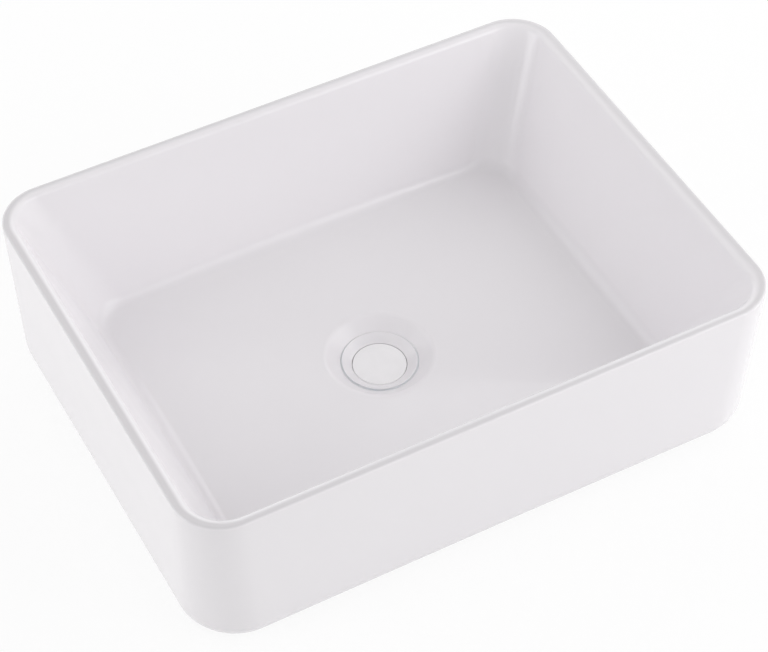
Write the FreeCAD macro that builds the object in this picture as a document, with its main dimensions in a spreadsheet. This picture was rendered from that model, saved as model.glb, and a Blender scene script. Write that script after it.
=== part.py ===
import FreeCAD, Part
import Sketcher

import math
import os

# Countertop washbasin: a double-walled ceramic bowl and its push-button waste.
# Millimetres, +Z up. The origin lies in the middle of the foot, on the counter.

# Driving dimensions. Heights are above the foot, drops are below it.
SIZES = [
    # the bowl's outside
    ("bowl_width", 480.0),
    ("bowl_depth", 368.0),
    ("bowl_height", 142.0),
    ("side_taper", 2.5),
    ("end_taper", 2.0),
    ("rim_corner", 37.5),
    ("foot_corner", 46.0),
    ("foot_round", 20.0),
    ("foot_width", 14.0),
    ("foot_flange", 12.0),
    # the bowl's inside, from the rim down to the drain
    ("side_rim_width", 9.6),
    ("end_rim_width", 8.0),
    ("rim_outer_round", 2.4),
    ("rim_inner_round", 6.8),
    ("side_wall_run", 44.4),
    ("end_wall_run", 40.0),
    ("floor_corner", 30.0),
    ("floor_edge_round", 16.0),
    ("floor_fall", 11.5),
    ("dish_ledge", 4.5),
    ("funnel_run", 19.5),
    ("funnel_depth", 14.5),
    ("funnel_round", 8.0),
    ("hole_clearance", 2.05),
    ("hole_wall", 5.5),
    ("hole_round", 0.8),
    # the shell, the skirt and the hollow between them
    ("shell_wall", 9.5),
    ("skirt_wall", 9.5),
    ("rim_band", 44.0),
    ("boss_wall", 23.0),
    ("boss_underside", 4.5),
    # the waste's flange and tube
    ("tube_radius", 20.95),
    ("tube_wall", 2.95),
    ("tail_drop", 50.0),
    ("tail_chamfer", 1.2),
    ("relief_gap", 1.5),
    ("relief_width", 2.5),
    ("relief_depth", 0.8),
    ("lip_overlap", 7.0),
    ("lip_thickness", 1.8),
    ("lip_edge", 0.9),
    ("neck_depth", 2.2),
    ("neck_clearance", 0.4),
    ("recess_wall", 0.8),
    ("flange_seal_thickness", 0.8),
    ("flange_seal_inset", 1.0),
    # the clamp under the bowl
    ("under_seal_overlap", 8.0),
    ("under_seal_thickness", 7.0),
    ("spigot_taper", 0.5),
    ("slip_washer_inset", 1.5),
    ("slip_washer_thickness", 1.5),
    ("backnut_wall", 5.05),
    ("backnut_height", 9.0),
    ("backnut_flange_width", 10.05),
    ("backnut_flange_thickness", 2.5),
    ("clamp_clearance", 0.3),
    # the plug
    ("cap_gap", 0.4),
    ("cap_thickness", 2.4),
    ("cap_edge_round", 0.8),
    ("cap_boss_radius", 5.5),
    ("cap_boss_length", 6.0),
    ("plug_seal_width", 1.9),
    ("plug_seal_margin", 0.6),
    ("plug_seal_thickness", 1.4),
    ("plug_seal_groove", 0.8),
    ("stem_radius", 3.0),
    ("stem_cover", 1.8),
    ("stem_reach", 10.0),
    ("stem_chamfer", 0.5),
    ("thread_clearance", 0.1),
    ("locknut_flats", 12.0),
    ("locknut_height", 4.0),
    # the click cartridge
    ("plug_travel", 9.0),
    ("press_room", 2.5),
    ("stop_gap", 0.6),
    ("housing_bore", 6.4),
    ("housing_wall", 1.6),
    ("housing_lip", 2.0),
    ("collar_rise", 1.5),
    ("collar_drop", 14.0),
    ("collar_height", 3.0),
    ("base_height", 4.0),
    ("base_flange_height", 1.5),
    ("rod_wall", 1.0),
    ("plunger_height", 8.0),
    ("rotor_height", 5.0),
    ("rotor_post_radius", 2.2),
    ("rotor_post_length", 3.5),
    ("tooth_height", 0.8),
    ("tooth_width", 1.7),
    ("tooth_root_radius", 3.6),
    ("running_gap", 0.3),
    ("spring_wire", 0.8),
    ("spring_radius", 4.6),
    ("spring_length", 7.1),
    # the spider that carries the cartridge
    ("hub_wall", 2.9),
    ("spider_height", 7.0),
    ("spider_arm", 3.0),
    # how far a cutter, or a joined block, runs past the face that it meets
    ("overrun", 3.0),
]

# Counts and shares have no length of their own.
COUNTS = [
    ("tooth_count", 8),
    ("arm_count", 4),
    ("spring_turns", 5),
    ("dish_corner_share", 0.985),
    ("rim_outer_share", 0.3),
    ("rim_inner_share", 0.86),
]

# Places and sizes that follow from the driving dimensions.
PLACES = [
    # the waste's thread sets the drain hole, and the drain sets the floor
    ("hole_radius", "Sizes.tube_radius + Sizes.hole_clearance"),
    ("funnel_radius", "hole_radius + Sizes.funnel_run"),
    ("dish_radius", "funnel_radius + Sizes.dish_ledge"),
    ("hole_edge_height", "Sizes.boss_underside + Sizes.hole_wall"),
    ("floor_height", "hole_edge_height + Sizes.funnel_depth"),
    ("floor_edge_height", "floor_height + Sizes.floor_fall"),
    # the rim's roundings are held to its lesser width
    ("rim_width", "min(Sizes.side_rim_width; Sizes.end_rim_width)"),
    ("rim_outer_fillet", "min(Sizes.rim_outer_round; rim_width * Sizes.rim_outer_share)"),
    ("rim_inner_fillet", "min(Sizes.rim_inner_round; rim_width * Sizes.rim_inner_share)"),
    # outlines of the bowl, as half sizes in x and y and a corner radius
    ("rim_half_x", "Sizes.bowl_width / 2"),
    ("rim_half_y", "Sizes.bowl_depth / 2"),
    ("foot_half_x", "rim_half_x - Sizes.side_taper"),
    ("foot_half_y", "rim_half_y - Sizes.end_taper"),
    ("mouth_half_x", "rim_half_x - Sizes.side_rim_width"),
    ("mouth_half_y", "rim_half_y - Sizes.end_rim_width"),
    ("mouth_corner", "Sizes.rim_corner - Sizes.side_rim_width"),
    ("floor_half_x", "mouth_half_x - Sizes.side_wall_run"),
    ("floor_half_y", "mouth_half_y - Sizes.end_wall_run"),
    ("dish_corner", "dish_radius * Sizes.dish_corner_share"),
    # the shell's outside follows the bowl's inside at one wall's distance
    ("hollow_top", "Sizes.bowl_height - Sizes.rim_band"),
    ("wall_height", "Sizes.bowl_height - floor_edge_height"),
    ("side_slope", "Sizes.side_wall_run / wall_height"),
    ("end_slope", "Sizes.end_wall_run / wall_height"),
    ("side_offset", "Sizes.shell_wall * sqrt(1 + side_slope ^ 2)"),
    ("end_offset", "Sizes.shell_wall * sqrt(1 + end_slope ^ 2)"),
    ("shell_top", "hollow_top + Sizes.overrun"),
    ("shell_top_drop", "Sizes.bowl_height - shell_top"),
    ("shell_top_half_x", "mouth_half_x - side_slope * shell_top_drop + side_offset"),
    ("shell_top_half_y", "mouth_half_y - end_slope * shell_top_drop + end_offset"),
    ("shell_top_corner", "mouth_corner + Sizes.shell_wall"),
    ("shell_low", "floor_edge_height - Sizes.shell_wall"),
    ("shell_low_half_x", "floor_half_x + side_offset - side_slope * Sizes.shell_wall"),
    ("shell_low_half_y", "floor_half_y + end_offset - end_slope * Sizes.shell_wall"),
    ("shell_low_corner", "Sizes.floor_corner + Sizes.shell_wall"),
    ("shell_dish", "floor_height - Sizes.shell_wall"),
    # the hollow's outline follows the skirt at one wall's distance
    ("skirt_low_share", "Sizes.foot_flange / Sizes.bowl_height"),
    ("skirt_top_share", "hollow_top / Sizes.bowl_height"),
    ("corner_change", "Sizes.rim_corner - Sizes.foot_corner"),
    ("hollow_low_half_x", "foot_half_x + Sizes.side_taper * skirt_low_share - Sizes.skirt_wall"),
    ("hollow_low_half_y", "foot_half_y + Sizes.end_taper * skirt_low_share - Sizes.skirt_wall"),
    ("hollow_low_corner", "Sizes.foot_corner + corner_change * skirt_low_share - Sizes.skirt_wall"),
    ("hollow_top_half_x", "foot_half_x + Sizes.side_taper * skirt_top_share - Sizes.skirt_wall"),
    ("hollow_top_half_y", "foot_half_y + Sizes.end_taper * skirt_top_share - Sizes.skirt_wall"),
    ("hollow_top_corner", "Sizes.foot_corner + corner_change * skirt_top_share - Sizes.skirt_wall"),
    ("opening_half_x", "foot_half_x - Sizes.foot_round - Sizes.foot_width"),
    ("opening_half_y", "foot_half_y - Sizes.foot_round - Sizes.foot_width"),
    ("opening_corner", "Sizes.foot_corner - Sizes.foot_round"),
    ("opening_depth", "Sizes.foot_flange + Sizes.overrun"),
    ("boss_radius", "hole_radius + Sizes.boss_wall"),
    ("boss_height", "shell_dish - Sizes.boss_underside + Sizes.overrun"),
    ("hole_cut_low", "Sizes.boss_underside - Sizes.overrun"),
    # the funnel's cone carries the seal, and the seal carries the flange
    ("funnel_slope", "Sizes.funnel_depth / Sizes.funnel_run"),
    ("funnel_lift", "sqrt(1 + funnel_slope ^ 2)"),
    ("lip_radius", "hole_radius + Sizes.lip_overlap"),
    ("seal_lift", "Sizes.flange_seal_thickness * funnel_lift"),
    ("seal_inner", "hole_radius + Sizes.hole_round + Sizes.clamp_clearance"),
    ("seal_outer", "lip_radius - Sizes.flange_seal_inset"),
    ("seal_inner_low", "hole_edge_height + (seal_inner - hole_radius) * funnel_slope"),
    ("seal_outer_low", "hole_edge_height + (seal_outer - hole_radius) * funnel_slope"),
    ("seal_inner_top", "seal_inner_low + seal_lift"),
    ("seal_outer_top", "seal_outer_low + seal_lift"),
    ("neck_radius", "hole_radius - Sizes.neck_clearance"),
    ("neck_top", "hole_edge_height - Sizes.neck_clearance * funnel_slope + seal_lift"),
    ("neck_low", "hole_edge_height - Sizes.neck_depth"),
    ("neck_end", "neck_low - neck_radius + Sizes.tube_radius"),
    ("lip_low", "hole_edge_height + Sizes.lip_overlap * funnel_slope + seal_lift"),
    ("lip_top", "lip_low + Sizes.lip_edge * funnel_lift"),
    ("recess_radius", "neck_radius - Sizes.recess_wall"),
    ("recess_top", "neck_top - Sizes.recess_wall * funnel_slope + Sizes.lip_thickness * funnel_lift"),
    ("seal_proud", "Sizes.plug_seal_thickness - Sizes.plug_seal_groove"),
    ("cap_seat", "recess_top - Sizes.cap_thickness - seal_proud"),
    ("throat_radius", "Sizes.tube_radius - Sizes.tube_wall"),
    ("tail_end", "-Sizes.tail_drop"),
    # the clamp's stack, from the boss down
    ("spigot_height", "neck_end - Sizes.clamp_clearance - Sizes.boss_underside"),
    ("spigot_radius", "hole_radius - Sizes.clamp_clearance"),
    ("spigot_tip", "spigot_radius - Sizes.spigot_taper"),
    ("seal_bore", "Sizes.tube_radius + Sizes.clamp_clearance"),
    ("under_seal_radius", "hole_radius + Sizes.under_seal_overlap"),
    ("under_seal_low", "Sizes.boss_underside - Sizes.under_seal_thickness"),
    ("under_seal_top", "Sizes.under_seal_thickness + spigot_height"),
    ("slip_washer_radius", "under_seal_radius - Sizes.slip_washer_inset"),
    ("slip_washer_low", "under_seal_low - Sizes.slip_washer_thickness"),
    ("backnut_flats", "2 * (Sizes.tube_radius + Sizes.backnut_wall)"),
    ("backnut_flange_radius", "Sizes.tube_radius + Sizes.backnut_flange_width"),
    ("backnut_low", "slip_washer_low - Sizes.backnut_height"),
    ("backnut_bore", "Sizes.tube_radius + Sizes.thread_clearance"),
    ("backnut_hex", "Sizes.backnut_height - Sizes.backnut_flange_thickness"),
    ("backnut_cut", "Sizes.backnut_height + Sizes.overrun"),
    ("relief_top", "backnut_low - Sizes.relief_gap"),
    ("relief_low", "relief_top - Sizes.relief_width"),
    ("relief_radius", "Sizes.tube_radius - Sizes.relief_depth"),
    # the plug's stack, closed, from the cap down
    ("cap_radius", "recess_radius - Sizes.cap_gap"),
    ("cap_low", "cap_seat + seal_proud"),
    ("cap_boss_low", "cap_low - Sizes.cap_boss_length"),
    ("cap_plate_top", "Sizes.cap_boss_length + Sizes.cap_thickness"),
    ("cap_bore", "Sizes.stem_radius + Sizes.thread_clearance"),
    ("cap_bore_depth", "Sizes.cap_boss_length + Sizes.cap_thickness - Sizes.stem_cover"),
    ("plug_seal_outer", "cap_radius - Sizes.plug_seal_margin"),
    ("plug_seal_inner", "plug_seal_outer - Sizes.plug_seal_width"),
    ("plug_groove_outer", "plug_seal_outer + Sizes.thread_clearance"),
    ("plug_groove_inner", "plug_seal_inner - Sizes.thread_clearance"),
    ("plunger_top", "cap_boss_low - Sizes.locknut_height"),
    ("stem_low", "plunger_top - Sizes.stem_reach"),
    ("stem_length", "Sizes.stem_reach + Sizes.locknut_height + cap_bore_depth"),
    ("stem_bore_depth", "Sizes.stem_reach + Sizes.thread_clearance"),
    ("locknut_cut", "Sizes.locknut_height + Sizes.overrun"),
    # the cartridge's stack, from the housing's top down
    ("plunger_rod_radius", "Sizes.stem_radius + Sizes.rod_wall"),
    ("drum_drop", "Sizes.housing_lip + Sizes.plug_travel + Sizes.stop_gap"),
    ("rotor_drop", "drum_drop + Sizes.plunger_height + Sizes.running_gap + Sizes.rotor_height"),
    ("housing_radius", "Sizes.housing_bore + Sizes.housing_wall"),
    ("housing_length", "rotor_drop + Sizes.spring_length + Sizes.base_height"),
    ("housing_top", "plunger_top - Sizes.press_room"),
    ("housing_low", "housing_top - housing_length"),
    ("housing_mouth", "plunger_rod_radius + Sizes.running_gap"),
    ("housing_bore_depth", "housing_length - Sizes.housing_lip"),
    ("housing_mouth_depth", "Sizes.housing_lip + Sizes.overrun"),
    ("collar_flats", "2 * (housing_radius + Sizes.collar_rise)"),
    ("collar_place", "housing_length - Sizes.collar_drop"),
    ("spider_top", "housing_top - Sizes.collar_drop"),
    ("spider_low", "spider_top - Sizes.spider_height"),
    ("spider_bore", "housing_radius + Sizes.thread_clearance"),
    ("spider_hub_radius", "spider_bore + Sizes.hub_wall"),
    ("hub_bore_depth", "Sizes.spider_height + Sizes.overrun"),
    ("spider_reach", "(relief_radius + throat_radius) / 2"),
    ("arm_half", "Sizes.spider_arm / 2"),
    ("arm_other_half", "-arm_half"),
    ("base_radius", "Sizes.housing_bore - Sizes.thread_clearance"),
    ("base_low", "housing_low - Sizes.base_flange_height"),
    ("base_top", "housing_low + Sizes.base_height"),
    ("drum_radius", "Sizes.housing_bore - Sizes.running_gap"),
    ("drum_low", "housing_top - drum_drop - Sizes.plunger_height"),
    ("drum_length", "Sizes.plunger_height - Sizes.tooth_height"),
    ("plunger_length", "plunger_top - drum_low"),
    ("plunger_rod_length", "plunger_length - Sizes.tooth_height"),
    ("rotor_low", "housing_top - rotor_drop"),
    ("rotor_drum", "Sizes.rotor_height - Sizes.tooth_height"),
    ("tooth_tip_radius", "drum_radius - Sizes.running_gap"),
    ("tooth_half", "Sizes.tooth_width / 2"),
    ("tooth_other_half", "-tooth_half"),
    ("wire_radius", "Sizes.spring_wire / 2"),
    ("spring_low", "base_top + wire_radius"),
    ("spring_rise", "Sizes.spring_length - Sizes.spring_wire"),
]

NO_PLACE = "0"
FULL_TURN = 360
HEX_SIDES = 6


def fill_sheet(doc, name, rows):
    """A sheet with one named cell per row."""
    sheet = doc.addObject("Spreadsheet::Sheet", name)
    for line, (alias, content) in enumerate(rows, 1):
        sheet.set(f"A{line}", alias)
        sheet.set(f"B{line}", content)
        sheet.setAlias(f"B{line}", alias)
    return sheet


def value(doc, place):
    """The number in a named cell, such as Sizes.bowl_width."""
    sheet, alias = place.split(".")
    return float(doc.getObject(sheet).get(alias))


def start_body(doc, label, height=None):
    """An empty body whose local zero lies at a named height."""
    body = doc.addObject("PartDesign::Body", label)
    body.Label = label
    if height:
        body.setExpression("Placement.Base.z", height)
    return body


def start_sketch(body, name, role, height=None):
    """A sketch on one of the body's own planes, raised to a named height."""
    sketch = body.newObject("Sketcher::SketchObject", name)
    plane = next(f for f in body.Origin.OriginFeatures if f.Role == role)
    sketch.AttachmentSupport = [(plane, "")]
    sketch.MapMode = "FlatFace"
    if height:
        sketch.setExpression("AttachmentOffset.Base.z", height)
    return sketch


def pin_point(sketch, geometry, point, x_place, y_place):
    """Ties a point of the sketch to two named places."""
    for kind, axis, place in (("DistanceX", -2, x_place), ("DistanceY", -1, y_place)):
        if place == NO_PLACE:
            sketch.addConstraint(Sketcher.Constraint("PointOnObject", geometry, point, axis))
            continue
        start = value(sketch.Document, place)
        row = sketch.addConstraint(Sketcher.Constraint(kind, -1, 1, geometry, point, start))
        sketch.setExpression(f"Constraints[{row}]", place)


def draw_polygon(sketch, corners):
    """A closed outline of straight lines through named corners."""
    doc = sketch.Document
    points = []
    for x_place, y_place in corners:
        x = 0 if x_place == NO_PLACE else value(doc, x_place)
        y = 0 if y_place == NO_PLACE else value(doc, y_place)
        points.append(FreeCAD.Vector(x, y, 0))
    count = len(points)
    for i in range(count):
        sketch.addGeometry(Part.LineSegment(points[i], points[(i + 1) % count]))
    for i in range(count):
        sketch.addConstraint(Sketcher.Constraint("Coincident", i, 2, (i + 1) % count, 1))
    for i, (x_place, y_place) in enumerate(corners):
        pin_point(sketch, i, 1, x_place, y_place)


def draw_circle(sketch, radius):
    """A circle about the sketch's origin."""
    circle = Part.Circle(FreeCAD.Vector(), FreeCAD.Vector(0, 0, 1), value(sketch.Document, radius))
    index = sketch.addGeometry(circle)
    sketch.addConstraint(Sketcher.Constraint("Coincident", index, 3, -1, 1))
    row = sketch.addConstraint(Sketcher.Constraint("Radius", index, circle.Radius))
    sketch.setExpression(f"Constraints[{row}]", radius)


def draw_hexagon(sketch, flats):
    """A regular hexagon with two corners on the x axis."""
    doc = sketch.Document
    reach = value(doc, flats) / math.sqrt(3)
    angles = [math.radians(FULL_TURN * i / HEX_SIDES) for i in range(HEX_SIDES)]
    points = [FreeCAD.Vector(reach * math.cos(a), reach * math.sin(a), 0) for a in angles]
    for i in range(HEX_SIDES):
        sketch.addGeometry(Part.LineSegment(points[i], points[(i + 1) % HEX_SIDES]))
    guide = sketch.addGeometry(Part.Circle(FreeCAD.Vector(), FreeCAD.Vector(0, 0, 1), reach), True)
    sketch.addConstraint(Sketcher.Constraint("Coincident", guide, 3, -1, 1))
    for i in range(HEX_SIDES):
        sketch.addConstraint(Sketcher.Constraint("Coincident", i, 2, (i + 1) % HEX_SIDES, 1))
        sketch.addConstraint(Sketcher.Constraint("PointOnObject", i, 1, guide))
        if i:
            sketch.addConstraint(Sketcher.Constraint("Equal", 0, i))
    sketch.addConstraint(Sketcher.Constraint("PointOnObject", 0, 1, -1))
    row = sketch.addConstraint(Sketcher.Constraint("Radius", guide, reach))
    sketch.setExpression(f"Constraints[{row}]", f"{flats} / sqrt(3)")


def draw_rounded_rectangle(sketch, half_x, half_y, corner):
    """A rectangle about the origin with four equal round corners."""
    doc = sketch.Document
    x, y, r = (value(doc, place) for place in (half_x, half_y, corner))
    up = FreeCAD.Vector(0, 0, 1)
    quarter = math.pi / 2
    middles = [(x - r, y - r), (r - x, y - r), (r - x, r - y), (x - r, r - y)]
    for i, (middle_x, middle_y) in enumerate(middles):
        circle = Part.Circle(FreeCAD.Vector(middle_x, middle_y, 0), up, r)
        sketch.addGeometry(Part.ArcOfCircle(circle, i * quarter, (i + 1) * quarter))
    for i in range(4):
        start = sketch.Geometry[i].EndPoint
        end = sketch.Geometry[(i + 1) % 4].StartPoint
        sketch.addGeometry(Part.LineSegment(start, end))
    for i in range(4):
        line = 4 + i
        sketch.addConstraint(Sketcher.Constraint("Tangent", i, 2, line, 1))
        sketch.addConstraint(Sketcher.Constraint("Tangent", line, 2, (i + 1) % 4, 1))
        if i:
            sketch.addConstraint(Sketcher.Constraint("Equal", 0, i))
    for line, kind in ((4, "Horizontal"), (5, "Vertical"), (6, "Horizontal"), (7, "Vertical")):
        sketch.addConstraint(Sketcher.Constraint(kind, line))
    sketch.addConstraint(Sketcher.Constraint("Symmetric", 0, 3, 2, 3, -1, 1))
    radius_row = sketch.addConstraint(Sketcher.Constraint("Radius", 0, r))
    x_row = sketch.addConstraint(Sketcher.Constraint("DistanceX", -1, 1, 0, 1, x))
    y_row = sketch.addConstraint(Sketcher.Constraint("DistanceY", -1, 1, 0, 2, y))
    for row, place in ((radius_row, corner), (x_row, half_x), (y_row, half_y)):
        sketch.setExpression(f"Constraints[{row}]", place)


def outline(body, name, half_x, half_y, corner, height=None):
    """A rounded rectangle on a level plane."""
    sketch = start_sketch(body, name, "XY_Plane", height)
    draw_rounded_rectangle(sketch, half_x, half_y, corner)
    return sketch


def disc(body, name, radius, height=None, bore=None):
    """A circle or a ring on a level plane."""
    sketch = start_sketch(body, name, "XY_Plane", height)
    draw_circle(sketch, radius)
    if bore:
        draw_circle(sketch, bore)
    return sketch


def section(body, name, corners):
    """A closed outline on the upright plane, to be turned about the z axis."""
    sketch = start_sketch(body, name, "XZ_Plane")
    draw_polygon(sketch, corners)
    return sketch


def loft(body, name, upper, lower, cut=False):
    """Straight walls from an upper outline to a lower one, added or cut away."""
    feature = body.newObject("PartDesign::SubtractiveLoft" if cut else "PartDesign::AdditiveLoft", name)
    feature.Profile = upper
    feature.Sections = [lower]
    feature.Ruled = True
    body.Document.recompute()
    return feature


def pad(body, name, sketch, length):
    """Raises a sketch to a solid, up from its plane."""
    feature = body.newObject("PartDesign::Pad", name)
    feature.Profile = sketch
    feature.setExpression("Length", length)
    body.Document.recompute()
    return feature


def pocket(body, name, sketch, depth, up=False):
    """Cuts a sketch out of the solid, down from its plane unless told up."""
    feature = body.newObject("PartDesign::Pocket", name)
    feature.Profile = sketch
    feature.Reversed = up
    feature.setExpression("Length", depth)
    before = feature.BaseFeature.Shape.Volume
    body.Document.recompute()
    if feature.Shape.Volume >= before:
        raise ValueError(f"{body.Label}: {name} cuts nothing")
    return feature


def turn(body, name, sketch, cut=False):
    """Turns a section about the z axis, as a solid or as a cutter."""
    feature = body.newObject("PartDesign::Groove" if cut else "PartDesign::Revolution", name)
    feature.Profile = sketch
    feature.ReferenceAxis = (sketch, ["V_Axis"])
    feature.Angle = FULL_TURN
    body.Document.recompute()
    if cut and feature.Shape.Volume >= feature.BaseFeature.Shape.Volume:
        raise ValueError(f"{body.Label}: {name} cuts nothing")
    return feature


def ring_of(body, name, feature, count):
    """Repeats a feature evenly about the z axis."""
    pattern = body.newObject("PartDesign::PolarPattern", name)
    pattern.Originals = [feature]
    axis = next(f for f in body.Origin.OriginFeatures if f.Role == "Z_Axis")
    pattern.Axis = (axis, [""])
    pattern.Angle = FULL_TURN
    pattern.setExpression("Occurrences", count)
    body.Tip = pattern
    body.Document.recompute()
    return pattern


def level_edges(shape, height, inside=None, outside=None):
    """Names of the edges that lie level at a height, by how far they reach from the z axis."""
    names = []
    for number, edge in enumerate(shape.Edges, 1):
        box = edge.BoundBox
        flat = max(abs(box.ZMin - height), abs(box.ZMax - height)) < shape.BoundBox.DiagonalLength / 1e6
        reach = max(abs(box.XMin), abs(box.XMax), abs(box.YMin), abs(box.YMax))
        if flat and (inside is None or reach < inside) and (outside is None or reach > outside):
            names.append(f"Edge{number}")
    if not names:
        raise ValueError(f"no edge lies at {height}")
    return names


def top_edges(shape, height, outer):
    """Names of the outer or the inner edges of the level face at a height."""
    slack = shape.BoundBox.DiagonalLength / 1e6
    faces = [f for f in shape.Faces if abs(f.BoundBox.ZMin - height) < slack]
    border = faces[0].OuterWire.Edges
    names = []
    for number, edge in enumerate(shape.Edges, 1):
        in_face = any(edge.isSame(other) for other in faces[0].Edges)
        in_border = any(edge.isSame(other) for other in border)
        if in_face and in_border == outer:
            names.append(f"Edge{number}")
    return names


def round_edges(body, name, names, radius):
    """Rounds the named edges of the body so far."""
    feature = body.newObject("PartDesign::Fillet", name)
    feature.Base = (feature.BaseFeature, names)
    feature.setExpression("Radius", radius)
    body.Document.recompute()
    return feature


def bevel_edges(body, name, names, size):
    """Bevels the named edges of the body so far."""
    feature = body.newObject("PartDesign::Chamfer", name)
    feature.Base = (feature.BaseFeature, names)
    feature.setExpression("Size", size)
    body.Document.recompute()
    return feature


def build_bowl_outside(body):
    """The block with its lean and rounded foot, hollow from below."""
    rim = outline(body, "rim_outline", "Places.rim_half_x", "Places.rim_half_y",
                  "Sizes.rim_corner", "Sizes.bowl_height")
    foot = outline(body, "foot_outline", "Places.foot_half_x", "Places.foot_half_y", "Sizes.foot_corner")
    block = loft(body, "block", rim, foot)
    round_edges(body, "foot_rounding", level_edges(block.Shape, 0), "Sizes.foot_round")
    top = outline(body, "hollow_top_outline", "Places.hollow_top_half_x", "Places.hollow_top_half_y",
                  "Places.hollow_top_corner", "Places.hollow_top")
    low = outline(body, "hollow_low_outline", "Places.hollow_low_half_x", "Places.hollow_low_half_y",
                  "Places.hollow_low_corner", "Sizes.foot_flange")
    loft(body, "hollow", top, low, cut=True)
    opening = outline(body, "opening_outline", "Places.opening_half_x", "Places.opening_half_y",
                      "Places.opening_corner")
    pocket(body, "foot_opening", opening, "Places.opening_depth", up=True)


def build_bowl_shell(body):
    """The bowl's underside, back inside the hollow, with the boss at the drain."""
    top = outline(body, "shell_top_outline", "Places.shell_top_half_x", "Places.shell_top_half_y",
                  "Places.shell_top_corner", "Places.shell_top")
    low = outline(body, "shell_low_outline", "Places.shell_low_half_x", "Places.shell_low_half_y",
                  "Places.shell_low_corner", "Places.shell_low")
    dish = outline(body, "shell_dish_outline", "Places.dish_radius", "Places.dish_radius",
                   "Places.dish_corner", "Places.shell_dish")
    loft(body, "shell_walls", top, low)
    loft(body, "shell_floor", low, dish)
    boss = disc(body, "boss_outline", "Places.boss_radius", "Sizes.boss_underside")
    pad(body, "drain_boss", boss, "Places.boss_height")


def build_bowl_inside(body):
    """The basin itself: sloping walls, a floor that falls to the dish, and the drain."""
    mouth = outline(body, "mouth_outline", "Places.mouth_half_x", "Places.mouth_half_y",
                    "Places.mouth_corner", "Sizes.bowl_height")
    floor = outline(body, "floor_outline", "Places.floor_half_x", "Places.floor_half_y",
                    "Sizes.floor_corner", "Places.floor_edge_height")
    dish = outline(body, "dish_outline", "Places.dish_radius", "Places.dish_radius",
                   "Places.dish_corner", "Places.floor_height")
    loft(body, "inner_walls", mouth, floor, cut=True)
    loft(body, "inner_floor", floor, dish, cut=True)
    drain = section(body, "drain_section", [
        (NO_PLACE, "Places.floor_height"),
        ("Places.funnel_radius", "Places.floor_height"),
        ("Places.hole_radius", "Places.hole_edge_height"),
        ("Places.hole_radius", "Places.hole_cut_low"),
        (NO_PLACE, "Places.hole_cut_low"),
    ])
    turn(body, "drain", drain, cut=True)


def round_bowl(body):
    """The glazed edges, from the drain up to the rim."""
    doc = body.Document
    hole_edge = value(doc, "Places.hole_edge_height")
    dish_reach = value(doc, "Places.dish_radius")
    names = level_edges(body.Tip.Shape, hole_edge, inside=dish_reach)
    round_edges(body, "hole_rounding", names, "Sizes.hole_round")
    funnel_reach = (dish_reach + value(doc, "Places.funnel_radius")) / 2
    names = level_edges(body.Tip.Shape, value(doc, "Places.floor_height"), inside=funnel_reach)
    round_edges(body, "funnel_rounding", names, "Sizes.funnel_round")
    floor_reach = value(doc, "Places.floor_half_x") + value(doc, "Places.rim_width")
    names = level_edges(body.Tip.Shape, value(doc, "Places.floor_edge_height"), inside=floor_reach)
    round_edges(body, "floor_rounding", names, "Sizes.floor_edge_round")
    rim_height = value(doc, "Sizes.bowl_height")
    names = top_edges(body.Tip.Shape, rim_height, outer=True)
    round_edges(body, "rim_outer_rounding", names, "Places.rim_outer_fillet")
    names = top_edges(body.Tip.Shape, rim_height, outer=False)
    round_edges(body, "rim_inner_rounding", names, "Places.rim_inner_fillet")


def build_basin_bowl(doc):
    """The ceramic casting."""
    body = start_body(doc, "basin_bowl")
    build_bowl_outside(body)
    build_bowl_shell(body)
    build_bowl_inside(body)
    round_bowl(body)


def build_waste_body(doc):
    """Flange, threaded tube and the spider that carries the cartridge, in one piece."""
    body = start_body(doc, "waste_body")
    wall = section(body, "wall_section", [
        ("Places.recess_radius", "Places.recess_top"),
        ("Places.lip_radius", "Places.lip_top"),
        ("Places.lip_radius", "Places.lip_low"),
        ("Places.neck_radius", "Places.neck_top"),
        ("Places.neck_radius", "Places.neck_low"),
        ("Sizes.tube_radius", "Places.neck_end"),
        ("Sizes.tube_radius", "Places.relief_top"),
        ("Places.relief_radius", "Places.relief_top"),
        ("Places.relief_radius", "Places.relief_low"),
        ("Sizes.tube_radius", "Places.relief_low"),
        ("Sizes.tube_radius", "Places.tail_end"),
        ("Places.throat_radius", "Places.tail_end"),
        ("Places.throat_radius", "Places.cap_seat"),
        ("Places.recess_radius", "Places.cap_seat"),
    ])
    turn(body, "wall", wall)
    arm_outline = start_sketch(body, "arm_outline", "XY_Plane", "Places.spider_low")
    draw_polygon(arm_outline, [
        (NO_PLACE, "Places.arm_other_half"),
        ("Places.spider_reach", "Places.arm_other_half"),
        ("Places.spider_reach", "Places.arm_half"),
        (NO_PLACE, "Places.arm_half"),
    ])
    arm = pad(body, "arm", arm_outline, "Sizes.spider_height")
    ring_of(body, "arms", arm, "Sizes.arm_count")
    hub = disc(body, "hub_outline", "Places.spider_hub_radius", "Places.spider_low")
    pad(body, "hub", hub, "Sizes.spider_height")
    bore = disc(body, "hub_bore_outline", "Places.spider_bore", "Places.spider_top")
    pocket(body, "hub_bore", bore, "Places.hub_bore_depth")
    tail_end = value(doc, "Places.tail_end")
    tube_reach = value(doc, "Places.throat_radius") + value(doc, "Sizes.tail_chamfer")
    names = level_edges(body.Tip.Shape, tail_end, outside=tube_reach)
    bevel_edges(body, "tail_bevel", names, "Sizes.tail_chamfer")


def build_flange_seal(doc):
    """A thin ring between the flange and the funnel."""
    body = start_body(doc, "flange_seal")
    ring = section(body, "ring_section", [
        ("Places.seal_inner", "Places.seal_inner_low"),
        ("Places.seal_outer", "Places.seal_outer_low"),
        ("Places.seal_outer", "Places.seal_outer_top"),
        ("Places.seal_inner", "Places.seal_inner_top"),
    ])
    turn(body, "ring", ring)


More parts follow.
